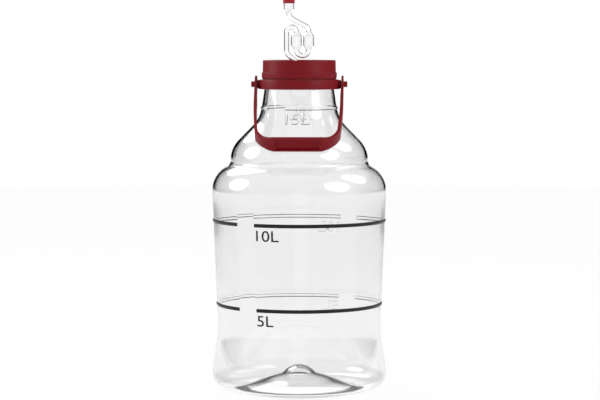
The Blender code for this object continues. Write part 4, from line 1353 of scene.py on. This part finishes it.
def white_paper(stage):
    """Seamless white paper: matt, and as bright as the backdrop wherever it is seen sharply, with a
    painted pool of light under the clear base.
    """
    material, tree, place = new_material("white_paper_sweep")
    rays = add_node(tree, "ShaderNodeLightPath").outputs
    through = rays["Is Transmission Ray"]
    first = add_node(
        tree, "ShaderNodeMath", rays["Is Camera Ray"], rays["Is Glossy Ray"], operation="MAXIMUM"
    )
    either = add_node(tree, "ShaderNodeMath", first, through, operation="MAXIMUM")
    share = add_node(tree, "ShaderNodeMath", either, PAPER_SHINE, operation="MULTIPLY")
    # Painted pool of light: to rays that come through the jar, the paper under the clear base glows
    # brighter, standing in for the light that the base gathers there
    away = add_node(tree, "ShaderNodeVectorMath", place, operation="LENGTH")
    painted_pool_glow = add_node(
        tree, "ShaderNodeMapRange", Value=away.outputs["Value"], interpolation_type="SMOOTHSTEP",
        From_Min=PAINTED_POOL_R, From_Max=PAINTED_POOL_FADE * PAINTED_POOL_R, To_Min=stage.painted_pool_glow, To_Max=1.0,
    )
    below = add_node(tree, "ShaderNodeMix", data_type="FLOAT", Factor=through, A=1.0, B=painted_pool_glow)
    white = add_node(tree, "ShaderNodeEmission", Color=WHITE, Strength=below)
    tint = bpy.context.scene.carboy_finishes.floor
    paper = add_node(tree, "ShaderNodeBsdfDiffuse", Color=(*tint, 1.0))
    mix = add_node(tree, "ShaderNodeMixShader", share, paper, white)
    add_node(tree, "ShaderNodeOutputMaterial", Surface=mix)
    return material


def add_softbox(name, azimuth, elevation, width, height, radiance):
    """Oval lamp that faces the middle of the carboy; azimuth 0 is in front, 90 to the right."""
    a = math.radians(azimuth)
    e = math.radians(elevation)
    way = Vector((math.sin(a) * math.cos(e), -math.cos(a) * math.cos(e), math.sin(e)))
    bpy.ops.object.light_add(type="AREA", location=SOFTBOX_AIM + way * SOFTBOX_DISTANCE)
    lamp = bpy.context.object
    lamp.name = name
    lamp.rotation_euler = way.to_track_quat("Z", "Y").to_euler()
    lamp.data.shape = "ELLIPSE"
    lamp.data.size = width
    lamp.data.size_y = height
    lamp.data.energy = radiance * math.pi * width * height * math.pi / 4


class CARBOY_OT_stage(bpy.types.Operator):
    """Add the floor, the studio light and the camera"""

    bl_idname = "carboy.stage"
    bl_label = "Stage"

    def execute(self, context):
        scene = context.scene
        stage = scene.carboy_stage
        bpy.ops.mesh.primitive_circle_add(
            vertices=FLOOR_STEPS, radius=FLOOR_R, fill_type="NGON", location=(0, 0, -FLOOR_DROP)
        )
        floor = bpy.context.object
        floor.name = "floor"
        bpy.ops.object.transform_apply()
        floor.data.materials.append(white_paper(stage))
        studio_world(stage)
        add_softbox("softbox_left", -93, 25, 1.25, 1.3, stage.left)
        add_softbox("softbox_right", 57, 29, 1.4, 1.55, stage.right)
        add_softbox("softbox_rear_right", 105, 41, 1.1, 1.3, stage.right)
        add_softbox("softbox_rear_left", -148, 42, 1.15, 1.4, stage.left)
        bpy.ops.object.camera_add(location=CAMERA_PLACE)
        camera = bpy.context.object
        camera.name = "camera"
        way = CAMERA_AIM - camera.location
        camera.rotation_euler = way.to_track_quat("-Z", "Y").to_euler()
        camera.data.lens = stage.lens
        camera.data.sensor_width = SENSOR_W
        scene.camera = camera
        scene.view_settings.view_transform = "Standard"
        return {"FINISHED"}


BUILD_ORDER = (
    CARBOY_OT_stage,
    CARBOY_OT_jar,
    CARBOY_OT_lid,
    CARBOY_OT_collar,
    CARBOY_OT_bail,
    CARBOY_OT_airlock,
    CARBOY_OT_airlock_seat,
)


class CARBOY_PT_build(bpy.types.Panel):
    """Buttons that model the pieces one by one"""

    bl_idname = "CARBOY_PT_build"
    bl_label = "Carboy"
    bl_space_type = "VIEW_3D"
    bl_region_type = "UI"
    bl_category = "Carboy"

    def draw(self, context):
        for operator in BUILD_ORDER:
            self.layout.operator(operator.bl_idname)


GROUPS = {
    "carboy_jar": JarSizes,
    "carboy_lid": LidSizes,
    "carboy_bail": BailSizes,
    "carboy_airlock": AirlockSizes,
    "carboy_finishes": Finishes,
    "carboy_stage": StageSettings,
}


def register():
    for name, group in GROUPS.items():
        bpy.utils.register_class(group)
        setattr(bpy.types.Scene, name, PointerProperty(type=group))
    for operator in BUILD_ORDER:
        bpy.utils.register_class(operator)
    bpy.utils.register_class(CARBOY_PT_build)


def unregister():
    bpy.utils.unregister_class(CARBOY_PT_build)
    for operator in reversed(BUILD_ORDER):
        bpy.utils.unregister_class(operator)
    for name, group in reversed(GROUPS.items()):
        delattr(bpy.types.Scene, name)
        bpy.utils.unregister_class(group)


def main():
    register()
    bpy.ops.carboy.stage()
    bpy.ops.carboy.jar()
    bpy.ops.carboy.lid()
    bpy.ops.carboy.collar()
    bpy.ops.carboy.bail()
    bpy.ops.carboy.airlock()
    bpy.ops.carboy.airlock_seat()


if __name__ == "__main__":
    main()
